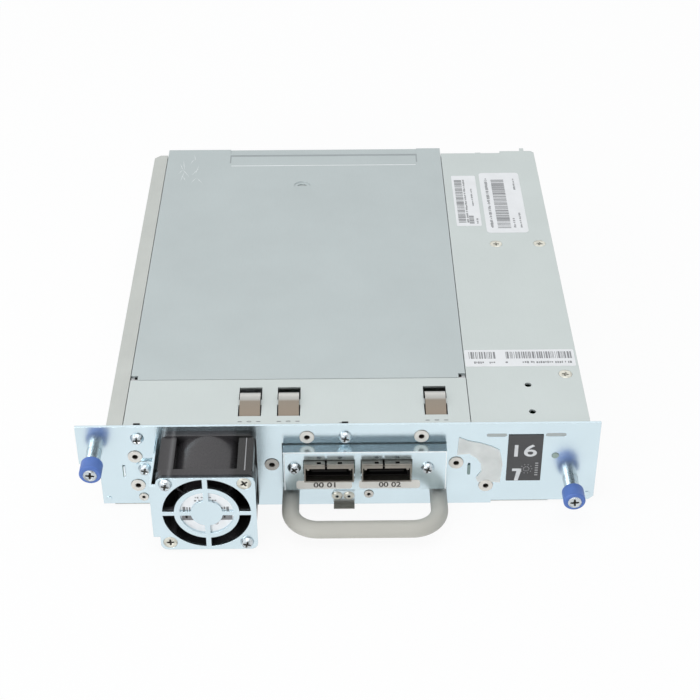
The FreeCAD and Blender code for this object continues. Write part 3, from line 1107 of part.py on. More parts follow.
def make_loader():
    """The cartridge tray rides on pins in two slotted cams, which lower it as they slide."""
    tray = Solid("cartridge_tray")
    floor, side = CARRIAGE_FLOOR, "carriage_side"
    wall = "carriage_wall"

    def plate(sk):
        rectangle(sk, CARRIAGE_LEFT, CARRIAGE_RIGHT, CARRIAGE_FRONT, CARRIAGE_BACK)
        room = "(motor_radius + motor_clearance)"
        rectangle(sk, CHUCK[0] + " - " + room, CHUCK[0] + " + " + room,
                  CHUCK[1] + " - " + room, CHUCK[1] + " + " + room)
    tray.slab("XY", floor, wall, plate)
    for low, high in ((CARRIAGE_LEFT, CARRIAGE_LEFT + " + " + wall),
                      (CARRIAGE_RIGHT + " - " + wall, CARRIAGE_RIGHT)):
        tray.slab("XY", floor, side, lambda sk: rectangle(sk, low, high, CARRIAGE_FRONT, CARRIAGE_BACK))

    def pins(sk):
        for y in PIN_SPOTS:
            circle(sk, y, PIN_HEIGHT, "cam_pin_radius")
    root = wall + " / 2"
    tray.slab("YZ", CARRIAGE_LEFT + " - pin_reach", "pin_reach + " + root, pins)
    tray.slab("YZ", CARRIAGE_RIGHT + " - " + root, "pin_reach + " + root, pins)
    tray.done("cartridge_tray")

    slope = "carriage_drop / cam_travel"
    half = "((cam_pin_radius + cam_slot_gap) * sqrt(1 + (%s) ^ 2))" % slope
    spare = "(cam_pin_radius + cam_slot_spare)"
    for side_name, low in (("left", CARRIAGE_LEFT + " - cam_side_gap - cam_thick"),
                           ("right", CARRIAGE_RIGHT + " + cam_side_gap")):
        cam = Solid("loader_cam_" + side_name)

        def outline(sk):
            front, foot = CARRIAGE_FRONT + " - cam_lead", PIN_HEIGHT + " - cam_below_pin"
            rectangle(sk, front, front + " + cam_length", foot, foot + " + cam_height")
            for y in PIN_SPOTS:
                start_y, start_z = "(%s + %s)" % (y, spare), "(%s + %s * %s)" % (PIN_HEIGHT, spare, slope)
                end_y = "(%s - cam_travel - %s)" % (y, spare)
                end_z = "(%s - carriage_drop - %s * %s)" % (PIN_HEIGHT, spare, slope)
                polygon(sk, [(start_y, start_z + " - " + half), (start_y, start_z + " + " + half),
                             (end_y, end_z + " + " + half), (end_y, end_z + " - " + half)])
        cam.slab("YZ", low, "cam_thick", outline)
        cam.done("loader_cam_" + side_name)


def make_reels():
    motors = []
    for i, (x, y, rise) in enumerate((REEL + ("reel_height",), CHUCK + ("chuck_height",))):
        motor = Solid("reel_motor_%d" % i)
        shaft = "motor_height + reel_lift + " + rise
        motor.turn("XZ", [("0", "0"), ("motor_radius", "0"), ("motor_radius", "motor_height"),
                          ("reel_bore_radius", "motor_height"), ("reel_bore_radius", shaft), ("0", shaft)])
        motors.append(place(motor.body, x, y, DECK_FACE))
    group("reel_motors", motors)
    bore = "reel_bore_radius + reel_shaft_gap"
    reel = Solid("take_up_reel")
    reel.turn("XZ", [(bore, "0"), ("reel_radius", "0"), ("reel_radius", "reel_flange"),
                     ("reel_hub_radius", "reel_flange"), ("reel_hub_radius", "reel_height - reel_flange"),
                     ("reel_radius", "reel_height - reel_flange"), ("reel_radius", "reel_height"),
                     (bore, "reel_height")])
    reel.done("take_up_reel", REEL[0], REEL[1], MOTOR_TOP + " + reel_lift")
    chuck = Solid("supply_chuck")
    dish = "chuck_height - chuck_dish"
    chuck.turn("XZ", [(bore, "0"), ("chuck_radius", "0"), ("chuck_radius", "chuck_height"),
                      ("chuck_radius - chuck_rim", "chuck_height"), ("chuck_radius - chuck_rim", dish),
                      (bore, dish)])
    chuck.done("supply_chuck", CHUCK[0], CHUCK[1], MOTOR_TOP + " + reel_lift")


def make_tape_path():
    make_reels()
    for i, (x, y) in enumerate(ROLLERS, start=1):
        roller = Solid("guide_roller_%d" % i)
        hole, rim, body = "roller_bore + roller_gap", "roller_radius", "roller_radius - roller_waist"
        roller.turn("XZ", [(hole, "0"), (rim, "0"), (rim, "roller_flange"), (body, "roller_flange"),
                           (body, "roller_height - roller_flange"), (rim, "roller_height - roller_flange"),
                           (rim, "roller_height"), (hole, "roller_height")])
        roller.done("guide_roller_%d" % i, x, y, "roller_level")
    head = Solid("tape_head")

    def head_block(sk):
        x, y = HEAD
        back, face = x + " - head_depth / 2", x + " + head_depth / 2"
        low, high = y + " - head_width / 2", y + " + head_width / 2"
        polygon(sk, [(back, low), (face + " - head_nose", low), (face, y + " - head_width / 4"),
                     (face, y + " + head_width / 4"), (face + " - head_nose", high), (back, high)])
        for side in "-+":
            circle(sk, x, "%s %s head_post_step" % (y, side), "head_post_radius + head_post_gap")
    head.slab("XY", DECK_FACE + " + head_lift", "head_height", head_block)
    head.done("tape_head")
    arm = Solid("threader_arm")

    def arm_plate(sk):
        x, y = ARM
        wide, narrow = "arm_width / 2", "arm_width / 4"
        polygon(sk, [(x + " - " + wide, y + " + " + wide), (x + " - " + wide, y + " - " + wide),
                     (x + " - " + narrow, y + " - arm_length"), (x + " + " + narrow, y + " - arm_length"),
                     (x + " + " + wide, y + " - " + wide), (x + " + " + wide, y + " + " + wide)])
        circle(sk, x, y, "arm_pin_radius + arm_pin_gap")
    arm.slab("XY", DECK_FACE + " + arm_level + arm_lift", "arm_thick", arm_plate)
    arm.done("threader_arm")


# ---------------------------------------------------------------- electronics box
def make_electronics():
    board = Solid("sled_board")
    left, right = BOX_LEFT + " + board_inset", TRAY_RIGHT + " - board_inset"
    board.slab("XY", "board_level", "board_thick",
               lambda sk: rectangle(sk, left, right, "board_front", "tray_depth - board_back"))
    board.done("sled_board")
    wall = "tray_depth - sheet_thick"
    rear = Solid("rear_bracket")
    dock_left, dock_right = DOCK_X + " - dock_width / 2", DOCK_X + " + dock_width / 2"

    def panel(sk):
        rectangle(sk, BOX_LEFT + " + sheet_thick", TRAY_RIGHT + " - sheet_thick", "sheet_thick",
                  COVER_UNDER + " - cover_flange")
        rectangle(sk, dock_left + " - dock_gap", dock_right + " + dock_gap",
                  BOARD_TOP + " - dock_gap", BOARD_TOP + " + dock_height + dock_gap")
        for x in GUIDE_PINS:
            circle(sk, x, "pin_level", "pin_radius + fastener_gap / 2")
    rear.slab("XZ", wall, "sheet_thick", panel)
    rear.done("rear_bracket")
    dock = Solid("dock_connector")
    dock.slab("XZ", "tray_depth - dock_depth", "dock_depth + dock_proud", lambda sk: rectangle(
        sk, dock_left, dock_right, BOARD_TOP, BOARD_TOP + " + dock_height"))
    dock.cut("XZ", "tray_depth + dock_proud - dock_socket", "dock_socket", lambda sk: rectangle(
        sk, dock_left + " + dock_wall", dock_right + " - dock_wall",
        BOARD_TOP + " + dock_wall", BOARD_TOP + " + dock_height - dock_wall"))
    dock.done("dock_connector")
    pins = []
    for i, x in enumerate(GUIDE_PINS):
        pin = Solid("guide_pin_%d" % i)
        collar, tip = "pin_radius + pin_flange", "pin_length + pin_taper"
        pin.turn("XY", [("0", "-pin_root"), (collar, "-pin_root"), (collar, "0"), ("pin_radius", "0"),
                        ("pin_radius", "pin_length"), ("pin_radius / 2", tip), ("0", tip)])
        pins.append(place(pin.body, x, wall, "pin_level"))
    group("guide_pins", pins)
    lens = rod("status_lens", "lens_radius", "lens_length + plate_thick", "Y", LENS_X,
               PLATE_FRONT + " - lens_proud", "lens_z")
    keep(lens, "status_lens")


make_tray()
make_front_strip()
make_side_cover()
make_fasteners()
make_faceplate()
make_clips()
make_fan_frame()
make_fan_rotor()
make_fan_bracket()
make_fan_wires()
make_port_bracket()
make_ports()
make_handle()
make_thumbscrew("left", *LEFT_SCREW)
make_thumbscrew("right", *RIGHT_SCREW)
make_drive_case()
make_door()
make_loader()
make_tape_path()
make_electronics()

doc.recompute()
for item in doc.Objects:
    if "Invalid" in item.State or "Error" in item.State:
        raise RuntimeError("%s did not build: %s" % (item.Name, item.State))
os.makedirs("parts", exist_ok=True)
for piece in PIECES:
    shape = piece.Shape
    if shape.isNull() or not shape.isValid():
        raise RuntimeError("%s has no valid shape" % piece.Label)
    shape.exportStep(os.path.join("parts", piece.Label + ".step"))
print(len(PIECES), "sub-parts written")
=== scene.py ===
"""Looks of the data tape drive: camera, light, finishes, labels and small marks."""

import json
import math
import random

import bmesh
import bpy
from mathutils import Matrix, Vector


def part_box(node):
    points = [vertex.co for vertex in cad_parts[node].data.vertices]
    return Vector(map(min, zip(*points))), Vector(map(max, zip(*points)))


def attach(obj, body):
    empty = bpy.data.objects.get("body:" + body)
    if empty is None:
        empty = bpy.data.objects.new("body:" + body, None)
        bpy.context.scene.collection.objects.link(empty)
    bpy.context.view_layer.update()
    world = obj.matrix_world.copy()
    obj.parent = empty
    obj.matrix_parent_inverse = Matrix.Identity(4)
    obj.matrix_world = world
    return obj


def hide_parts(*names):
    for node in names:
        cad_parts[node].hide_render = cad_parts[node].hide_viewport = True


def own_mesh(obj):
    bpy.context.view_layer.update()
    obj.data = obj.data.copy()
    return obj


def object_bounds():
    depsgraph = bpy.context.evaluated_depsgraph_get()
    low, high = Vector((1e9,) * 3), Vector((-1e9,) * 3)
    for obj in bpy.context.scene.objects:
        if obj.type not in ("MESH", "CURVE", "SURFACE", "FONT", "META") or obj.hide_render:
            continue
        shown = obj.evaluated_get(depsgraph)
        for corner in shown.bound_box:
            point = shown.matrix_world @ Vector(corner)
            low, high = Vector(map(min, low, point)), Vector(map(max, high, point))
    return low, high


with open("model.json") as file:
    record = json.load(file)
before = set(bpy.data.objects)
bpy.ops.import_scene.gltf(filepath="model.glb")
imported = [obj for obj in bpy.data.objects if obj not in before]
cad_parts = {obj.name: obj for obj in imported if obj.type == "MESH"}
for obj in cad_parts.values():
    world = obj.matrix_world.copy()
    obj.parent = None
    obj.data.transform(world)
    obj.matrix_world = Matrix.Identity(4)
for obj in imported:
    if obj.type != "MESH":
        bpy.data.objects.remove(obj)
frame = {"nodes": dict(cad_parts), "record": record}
CAD_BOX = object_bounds()
NODES = frame["nodes"]
MM = 0.001
SKIN = 0.05 * MM                  # thickness of paper, ink and tape
STAIN = SKIN / 2                  # thickness of painted highlights and shade, and of stamped marks
HAIR = SKIN / 4                   # thickness of painted crease shadows and of scratches
SHEET = 1.0                       # the sled's sheet metal, in millimetres
BEVEL = 0.25 * MM                 # how far the shading rounds a metal edge
SHARP = math.radians(28)          # folds above this stay sharp in a smoothed piece
CLIPS = (-37.5, -21.0, 41.6)      # the ground clips' middles along x, in millimetres
USUAL = (0.3, 0.7)                # where most of a noise's values lie
FLOOR_REACH = 6                   # half the floor's width, in metres
FLOOR_GLOW = 0.92                 # how much of the floor's white is its own, and takes no shadow


def low(node):
    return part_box(node)[0]


def high(node):
    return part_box(node)[1]


def in_scene(name, data):
    """A new object for some data, linked to the scene."""
    thing = bpy.data.objects.new(name, data)
    bpy.context.scene.collection.objects.link(thing)
    return thing


def node_mesh(node):
    """A copy of a CAD node's mesh in world coordinates, with no material."""
    source = NODES[node]
    mesh = source.data.copy()
    mesh.transform(source.matrix_world)
    mesh.materials.clear()
    return mesh


def evaluated(thing):
    """A new mesh of an object as it looks with its modifiers applied."""
    bpy.context.view_layer.update()
    return bpy.data.meshes.new_from_object(thing.evaluated_get(bpy.context.evaluated_depsgraph_get()))


def smooth(mesh):
    for face in mesh.polygons:
        face.use_smooth = True
    mesh.set_sharp_from_angle(angle=SHARP)


# ------------------------------------------------------------------ camera and light
def make_camera():
    """High in front of the service plate with a long lens, looking down, as a fit of the view gave it."""
    pitch, yaw, roll = (math.radians(angle) for angle in (36.216, 0.402, -0.247))
    place = Vector((1.51, -514.38, 458.76)) * MM
    ahead = Vector((math.sin(yaw) * math.cos(pitch), math.cos(yaw) * math.cos(pitch), -math.sin(pitch)))
    right = Vector((math.cos(yaw), -math.sin(yaw), 0))
    up = right.cross(ahead)
    turned = math.cos(roll) * right + math.sin(roll) * up
    upright = math.cos(roll) * up - math.sin(roll) * right
    data = bpy.data.cameras.new("camera")
    data.sensor_width = 36
    data.lens = 80.94
    camera = in_scene("camera", data)
    camera.matrix_world = Matrix.Translation(place) @ Matrix((turned, upright, -ahead)).transposed().to_4x4()
    bpy.context.scene.camera = camera


def lamp(name, place, aim, size, power):
    """A soft rectangular lamp at a place, turned to its aim."""
    data = bpy.data.lights.new(name, "AREA")
    data.shape = "RECTANGLE"
    data.size, data.size_y = size
    data.energy = power
    thing = in_scene(name, data)
    thing.location = place
    thing.rotation_euler = (Vector(aim) - Vector(place)).to_track_quat("-Z", "Y").to_euler()


def seen_white(tree, plain, glow):
    """Mixes in the glow for what the camera, mirrors and clear parts see, and not for soft light."""
    path = tree.nodes.new("ShaderNodeLightPath")
    seen = path.outputs["Is Camera Ray"]
    for other in ("Is Glossy Ray", "Is Transmission Ray"):
        either = tree.nodes.new("ShaderNodeMath")
        either.operation = "MAXIMUM"
        tree.links.new(seen, either.inputs[0])
        tree.links.new(path.outputs[other], either.inputs[1])
        seen = either.outputs[0]
    mix = tree.nodes.new("ShaderNodeMixShader")
    tree.links.new(seen, mix.inputs[0])
    tree.links.new(plain, mix.inputs[1])
    tree.links.new(glow, mix.inputs[2])
    return mix.outputs[0]


def make_light():
    """A white surround with three soft lamps."""
    bpy.context.scene.view_settings.view_transform = "Standard"
    world = bpy.data.worlds.new("studio")
    bpy.context.scene.world = world
    world.use_nodes = True
    tree = world.node_tree
    tree.nodes.clear()
    out = tree.nodes.new("ShaderNodeOutputWorld")
    white = tree.nodes.new("ShaderNodeBackground")
    white.inputs["Color"].default_value = (1, 1, 1, 1)
    white.inputs["Strength"].default_value = 1.0
    soft = tree.nodes.new("ShaderNodeBackground")
    soft.inputs["Color"].default_value = (0.95, 0.98, 1, 1)
    soft.inputs["Strength"].default_value = 0.55
    tree.links.new(seen_white(tree, soft.outputs[0], white.outputs[0]), out.inputs["Surface"])
    lamp("overhead", (0, 0.1, 1.3), (0, 0.1, 0), (1.4, 1.4), 7.2)
    lamp("front", (-0.5, -1.0, 0.36), (0, 0, 0), (0.8, 0.5), 6.0)
    lamp("side", (-1.3, 0.1, 0.8), (0, 0.1, 0), (0.8, 0.8), 2.4)


def sheet_in_space(name, corners, finish):
    """A flat part of the studio, which isn't part of the object."""
    mesh = bpy.data.meshes.new(name)
    mesh.from_pydata(corners, [], [(0, 1, 2, 3)])
    mesh.materials.append(finish.material)
    in_scene(name, mesh)


def make_studio():
    """A white floor that keeps a faint shadow, and the dark card that bright metal mirrors."""
    level, reach = CAD_BOX[0].z, FLOOR_REACH
    paper = Finish("floor_paper")
    paper.set(Roughness=0.9)
    paper.shader.inputs["Base Color"].default_value = (0.93, 0.93, 0.93, 1)
    tree = paper.tree
    glow = paper.add("ShaderNodeEmission", Color=(1, 1, 1, 1), Strength=1.0)
    share = tree.nodes.new("ShaderNodeMixShader")
    share.inputs[0].default_value = FLOOR_GLOW
    tree.links.new(paper.shader.outputs[0], share.inputs[1])
    tree.links.new(glow.outputs[0], share.inputs[2])
    tree.links.new(seen_white(tree, paper.shader.outputs[0], share.outputs[0]), paper.out.inputs["Surface"])
    sheet_in_space("floor", [(-reach, -reach, level), (reach, -reach, level),
                             (reach, reach, level), (-reach, reach, level)], paper)
    backdrop = Finish("dark_card")
    backdrop.set(Roughness=1.0)
    backdrop.shader.inputs["Base Color"].default_value = (0.010, 0.028, 0.040, 1)
    side, near, far, bottom, top = 0.9, -0.80, -1.20, 0.48, 1.20
    sheet_in_space("dark_card", [(-side, far, bottom), (side, far, bottom),
                                 (side, near, top), (-side, near, top)], backdrop)


# ------------------------------------------------------------------ finishes
class Finish:
    """A node material with one main shader and short ways to feed it."""

    def __init__(self, name):
        self.material = bpy.data.materials.new(name)
        self.material.use_nodes = True
        self.tree = self.material.node_tree
        self.shader = self.tree.nodes["Principled BSDF"]
        self.out = self.tree.nodes["Material Output"]
        self.spot = None

    def add(self, kind, **values):
        made = self.tree.nodes.new(kind)
        for name, value in values.items():
            made.inputs[name.replace("_", " ")].default_value = value
        return made

    def join(self, source, output, target, entry):
        self.tree.links.new(source.outputs[output], target.inputs[entry])

    def set(self, **values):
        for name, value in values.items():
            self.shader.inputs[name.replace("_", " ")].default_value = value

    def place(self, stretch=(1, 1, 1)):
        """The object's own coordinates in millimetres, stretched along some axes."""
        if self.spot is None:
            self.spot = self.add("ShaderNodeTexCoord")
        mapping = self.add("ShaderNodeMapping")
        mapping.inputs["Scale"].default_value = [1000 / s for s in stretch]
        self.join(self.spot, "Object", mapping, "Vector")
        return mapping

    def noise(self, size, stretch=(1, 1, 1), detail=4, roughness=0.55):
        """Noise whose blotches are about size millimetres across."""
        made = self.add("ShaderNodeTexNoise", Scale=1 / size, Detail=detail, Roughness=roughness)
        self.join(self.place(stretch), 0, made, "Vector")
        return made

    def ramp(self, source, output, stops, target, entry, kind="LINEAR"):
        """Colours by position, from a list of (place, colour)."""
        made = self.add("ShaderNodeValToRGB")
        made.color_ramp.interpolation = kind
        bar = made.color_ramp.elements
        while len(bar) < len(stops):
            bar.new(0.5)
        for slot, (where, color) in zip(bar, stops):
            slot.position = where
            slot.color = (*color, 1)
        self.join(source, output, made, "Fac")
        self.join(made, "Color", target, entry)

    def spread(self, source, least, most, entry):
        """Maps a noise's usual values to a plain number such as roughness."""
        made = self.add("ShaderNodeMapRange", From_Min=USUAL[0], From_Max=USUAL[1], To_Min=least, To_Max=most)
        self.join(source, 0, made, "Value")
        self.join(made, 0, self.shader, entry)

    def bump(self, source, depth, edge=0.0):
        """Fine relief of depth millimetres over edges that are softly rounded."""
        made = self.add("ShaderNodeBump", Strength=1.0, Distance=depth * MM)
        self.join(source, 0, made, "Height")
        if edge:
            soft = self.tree.nodes.new("ShaderNodeBevel")
            soft.samples = 4
            soft.inputs["Radius"].default_value = edge
            self.join(soft, 0, made, "Normal")
        self.join(made, 0, self.shader, "Normal")


def shade(color, factor):
    return tuple(min(1, part * factor) for part in color)


def sheet_metal(name, color, rough, metallic=1.0, grain=(1, 14, 1), patch=26.0, depth=0.004, vary=0.06,
                edge=BEVEL, uneven=0.07):
    """Rolled, plated sheet: cloudy plating, a fine rolling grain and uneven gloss."""
    finish = Finish(name)
    finish.set(Metallic=metallic)
    clouds = finish.noise(patch, detail=5)
    finish.ramp(clouds, 0, [(USUAL[0], shade(color, 1 - vary)), (USUAL[1], shade(color, 1 + vary * 0.6))],
                finish.shader, "Base Color")
    fine = finish.noise(0.35, stretch=grain, detail=6, roughness=0.7)
    finish.spread(fine, rough - uneven, rough + uneven, "Roughness")
    finish.bump(fine, depth, edge)
    return finish


def plastic(name, color, rough=0.5, grain=0.12, depth=0.01, vary=0.08, edge=0.2 * MM, **extra):
    """Moulded plastic with a spark-eroded texture and slight flow marks."""
    finish = Finish(name)
    finish.set(**extra)
    clouds = finish.noise(7, detail=3)
    finish.ramp(clouds, 0, [(USUAL[0], shade(color, 1 - vary)), (USUAL[1], shade(color, 1 + vary))],
                finish.shader, "Base Color")
    skin = finish.noise(grain, detail=2)
    finish.spread(skin, rough - 0.07, rough + 0.07, "Roughness")
    finish.bump(skin, depth, edge)
    return finish


def circuit_board(name):
    """Green solder mask over a net of tracks and pads."""
    finish = Finish(name)
    finish.set(Roughness=0.35, Coat_Weight=0.4)
    cells = finish.add("ShaderNodeTexVoronoi", Scale=0.45)
    cells.distance = "CHEBYCHEV"
    finish.join(finish.place(), 0, cells, "Vector")
    finish.ramp(cells, "Distance", [(0.1, (0.45, 0.36, 0.12)), (0.16, (0.02, 0.16, 0.07)),
                                    (0.6, (0.015, 0.11, 0.05)), (0.7, (0.03, 0.2, 0.1))],
                finish.shader, "Base Color")
    finish.bump(cells, 0.02)
    return finish


def make_finishes():
    """Every finish by its short name; most names are the record's material slots."""
    made = {
        "sheet": sheet_metal("zinc_sheet", (0.58, 0.63, 0.62), 0.46, metallic=0.55, patch=40, vary=0.03),
        "drive_sheet": sheet_metal("drive_zinc", (0.485, 0.54, 0.545), 0.42, metallic=0.6, patch=34,
                                   vary=0.035),
        "tray_sheet": sheet_metal("tray_zinc", (0.53, 0.55, 0.525), 0.5, metallic=0.5, patch=18, vary=0.05),
        "plate": sheet_metal("bright_zinc", (0.69, 0.82, 0.88), 0.24, metallic=0.97, grain=(5, 1, 1),
                             patch=16, vary=0.025, depth=0.0007, uneven=0.03),
        # painted highlight: a pale, non-metallic finish for strips that stand in for lit edges
        "painted_highlight_edge": sheet_metal("painted_highlight_edge", (0.90, 0.95, 0.97), 0.45, metallic=0.0, patch=4, edge=0),
        "shadow_line": sheet_metal("shadow_line", (0.03, 0.045, 0.05), 0.6, metallic=0.2, patch=3, edge=0),
        "fastener": sheet_metal("nickel", (0.60, 0.65, 0.68), 0.28, patch=3, vary=0.08),
        # painted shade for the inside of cross recesses: near black, and a paler grey for the upward-facing
        # cover screws
        "recess": sheet_metal("painted_shade_recess", (0.10, 0.095, 0.085), 0.5, metallic=0.7, patch=1, vary=0.3,
                              edge=0),
        "cream": sheet_metal("aged_nickel", (0.72, 0.71, 0.63), 0.42, metallic=0.6, patch=2, vary=0.08),
        "soft_recess": sheet_metal("painted_pale_shade_recess", (0.36, 0.35, 0.31), 0.5, metallic=0.4, patch=1, vary=0.2,
                                   edge=0),
        "cage": sheet_metal("cage_nickel", (0.34, 0.32, 0.285), 0.36, patch=5, vary=0.12),
        "casting": sheet_metal("casting", (0.52, 0.53, 0.54), 0.5, grain=(1, 1, 1), patch=9, depth=0.02),
        "dark_plastic": plastic("dark_plastic", (0.03, 0.03, 0.032), 0.45),
        # near-black plastic, also used as painted shade in cut openings, gaps and rivet eyes
        "insert": plastic("insert_plastic_and_painted_shade", (0.004, 0.0035, 0.0035), 0.7, Specular_IOR_Level=0.2),
        "knob": plastic("blue_nylon", (0.085, 0.17, 0.48), 0.5, grain=0.2, vary=0.1),
        "reel_plastic": plastic("reel_plastic", (0.62, 0.63, 0.65), 0.4),
        "plug": plastic("nylon", (0.72, 0.70, 0.62), 0.45),
        "board": circuit_board("board_green"),
        "lens": plastic("lens_green", (0.36, 0.46, 0.41), 0.3, Transmission_Weight=0.2),
    }
    made["clip"] = clip_finish()
    made["fan_plastic"] = fan_finish()
    made["grip"] = grip_finish()
    made["nut"] = nut_finish()
    made["wire"] = wire_finish()
    made["catch"] = catch_finish()
    return made


def along(finish, node, axis, start, end, stops, kind="LINEAR"):
    """Colours a finish by where a point lies between two shares of a node's box along x, y or z."""
    spot = finish.add("ShaderNodeSeparateXYZ")
    finish.join(finish.place(), 0, spot, 0)
    share = finish.add("ShaderNodeMapRange")
    nearest = getattr(low(node), axis) / MM
    length = getattr(high(node), axis) / MM - nearest
    share.inputs["From Min"].default_value = nearest + start * length
    share.inputs["From Max"].default_value = nearest + end * length
    finish.join(spot, axis.upper(), share, "Value")
    finish.ramp(share, 0, stops, finish.shader, "Base Color", kind)


def nut_finish():
    """A pressed nut: pale on its face, brown with old grease down its bore, and painted shade darkening the
    bore to near black deeper in.
    """
    finish = sheet_metal("nut_nickel", (0.68, 0.65, 0.60), 0.42, metallic=0.35, patch=3, vary=0.08)
    along(finish, "plate_nuts", "y", 0.0, 0.5, [(0.0, (0.72, 0.69, 0.64)), (0.3, (0.30, 0.27, 0.24)),
                                               (0.8, (0.05, 0.04, 0.03))])
    return finish


def fan_finish():
    """Glossy black moulding with a painted highlight streak near its left side and painted shade deepening to
    black down its right side.
    """
    finish = plastic("fan_plastic", (0.036, 0.034, 0.037), 0.28, grain=0.3, depth=0.004)
    # the pale band at 0.14 is a painted highlight; the dark stops from 0.82 on are painted shade
    along(finish, "fan_frame", "x", 0.0, 1.0, [(0.0, (0.020, 0.019, 0.021)), (0.11, (0.040, 0.038, 0.041)),
                                              (0.14, (0.110, 0.108, 0.112)), (0.17, (0.024, 0.023, 0.025)),
                                              (0.30, (0.038, 0.036, 0.039)), (0.74, (0.038, 0.036, 0.039)),
                                              (0.82, (0.012, 0.012, 0.012)), (0.93, (0.010, 0.010, 0.010)),
                                              (1.0, (0.004, 0.004, 0.004))])
    return finish


def grip_finish():
    """Warm grey coating with painted shade that darkens the legs near the plate."""
    finish = plastic("grip_coating", (0.49, 0.48, 0.435), 0.52, grain=0.3, depth=0.02, vary=0.05)
    # the dark stop near the plate is painted shade
    along(finish, "handle", "y", 0.0, 1.0, [(0.0, (0.49, 0.48, 0.435)), (0.45, (0.48, 0.475, 0.435)),
                                           (0.9, (0.33, 0.34, 0.325))])
    return finish


def clip_finish():
    """Nickel spring strip, tan on the flat, with a painted highlight along the crest and painted shade where
    it falls away behind.
    """
    finish = sheet_metal("spring_nickel", (0.30, 0.25, 0.20), 0.4, metallic=0.45, patch=6, vary=0.12)
    # the bright stops paint the crest's highlight and the last stop paints the shade behind it
    along(finish, "top_clips", "y", 0.25, 0.95, [(0.0, (0.215, 0.175, 0.135)), (0.42, (0.20, 0.172, 0.138)),
                                                (0.5, (0.38, 0.38, 0.36)), (0.66, (0.62, 0.61, 0.58)),
                                                (0.74, (0.50, 0.50, 0.48)), (0.9, (0.12, 0.12, 0.12))])
    return finish


def catch_finish():
    """The ground clip under the ports: pale blue-grey towards the rivets and darker down its tab."""
    finish = sheet_metal("catch_nickel", (0.5, 0.5, 0.46), 0.35, metallic=0.4, patch=4, vary=0.1)
    along(finish, "bottom_clip", "z", 0.0, 0.45, [(0.0, (0.26, 0.25, 0.22)), (0.5, (0.42, 0.42, 0.39)),
                                                 (1.0, (0.74, 0.85, 0.90))])
    return finish


def wire_finish():
    """Three leads side by side take their colour from how high they lie."""
    finish = Finish("lead_colours")
    finish.set(Roughness=0.4)
    along(finish, "fan_wires", "z", 0.0, 1.0, [(0.0, (0.012, 0.012, 0.012)), (0.34, (0.42, 0.02, 0.015)),
                                               (0.67, (0.50, 0.27, 0.03))], "CONSTANT")
    grain = finish.noise(0.3)
    finish.bump(grain, 0.01)
    return finish


def dress(finishes):
    """Give every CAD node the finish of its own material slot, or of its kind where that differs."""
    kinds = {"plate_nuts": "nut", "clip_rivets": "cream", "bottom_clip": "catch", "tray": "tray_sheet"}
    for part in frame["record"]["subparts"]:
        name = part["node"]
        thing = NODES[name]
        thing.data.materials.clear()
        thing.data.materials.append(finishes[kinds.get(name, part["material_slot"])].material)


# ------------------------------------------------------------------ driven screws
def islands(mesh):
    """The boxes of a mesh's separate solids, each as its lowest and its highest corner."""
    form = bmesh.new()
    form.from_mesh(mesh)
    bmesh.ops.remove_doubles(form, verts=form.verts, dist=MM / 1000)
    boxes, left = [], set(form.verts)
    for start in form.verts:          # in the mesh's own order, because a set's order differs between runs
        if start not in left:
            continue
        left.remove(start)
        waiting, group = [start], []
        while waiting:
            vert = waiting.pop()
            group.append(vert.co.copy())
            for link in vert.link_edges:
                other = link.other_vert(vert)
                if other in left:
                    left.remove(other)
                    waiting.append(other)
        boxes.append([Vector(pick(point[i] for point in group) for i in range(3)) for pick in (min, max)])
    form.free()
    return boxes


def cross_cutter(form, mouth, into, turn, reach, depth):
    """A tapered cross-recess cutter from just outside a screw's face to its depth."""
    side = into.orthogonal().normalized()
    across = into.cross(side)
    outside, mouth_share, floor_share = -0.3, 1.08, 0.45
    rings = []
    for level, share in ((outside, mouth_share), (depth, floor_share)):
        ring = []
        for quarter in range(4):
            angle = turn + quarter * math.pi / 2
            for out, beside in ((1, -0.2), (1, 0.2), (0.26, 0.26)):
                a, b = out * reach * share, beside * reach
                x, y = a * math.cos(angle) - b * math.sin(angle), a * math.sin(angle) + b * math.cos(angle)
                ring.append(form.verts.new(mouth + into * level * MM + (side * x + across * y) * MM))
        rings.append(ring)
    first, last = rings
    form.faces.new(first)
    form.faces.new(reversed(last))
    for i in range(len(first)):
        j = (i + 1) % len(first)
        form.faces.new((first[i], last[i], last[j], first[j]))


def carved(node, operation, shape, finish, inner, body):
    """A copy of a CAD node, cut or built up by the solid that shape makes, that stands for the node."""
    mesh = node_mesh(node)
    form = bmesh.new()
    form.from_mesh(mesh)
    bmesh.ops.remove_doubles(form, verts=form.verts, dist=MM / 1000)
    form.to_mesh(mesh)
    form.free()
    tool_form = bmesh.new()
    shape(tool_form, mesh)
    bmesh.ops.recalc_face_normals(tool_form, faces=tool_form.faces)
    tool_mesh = bpy.data.meshes.new(node + "_tool")
    tool_form.to_mesh(tool_mesh)
    tool_form.free()
    tool_mesh.materials.append(inner.material)
    tool = in_scene(node + "_tool", tool_mesh)
    mesh.materials.append(finish.material)
    thing = in_scene(node + "_carved", mesh)
    change = thing.modifiers.new("change", "BOOLEAN")
    change.operation = operation
    change.solver = "EXACT"
    change.material_mode = "TRANSFER"
    change.object = tool
    made = evaluated(thing)
    thing.modifiers.remove(change)
    thing.data = made
    bpy.data.objects.remove(tool)
    smooth(made)
    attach(thing, body)
    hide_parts(node)
    return thing


def driven(node, into, reach, depth, finish, recess, body):
    """The node's screws with a cross recess cut in each head, each turned as it was left."""
    draw = random.Random(len(node))

    def recesses(form, mesh):
        for lowest, highest in islands(mesh):
            middle = (lowest + highest) / 2
            size = (highest - lowest) / 2
            mouth = middle - into * abs(size.dot(into))
            cross_cutter(form, mouth, into, math.radians(draw.uniform(0, 90)), reach, depth)
    return carved(node, "DIFFERENCE", recesses, finish, recess, body)


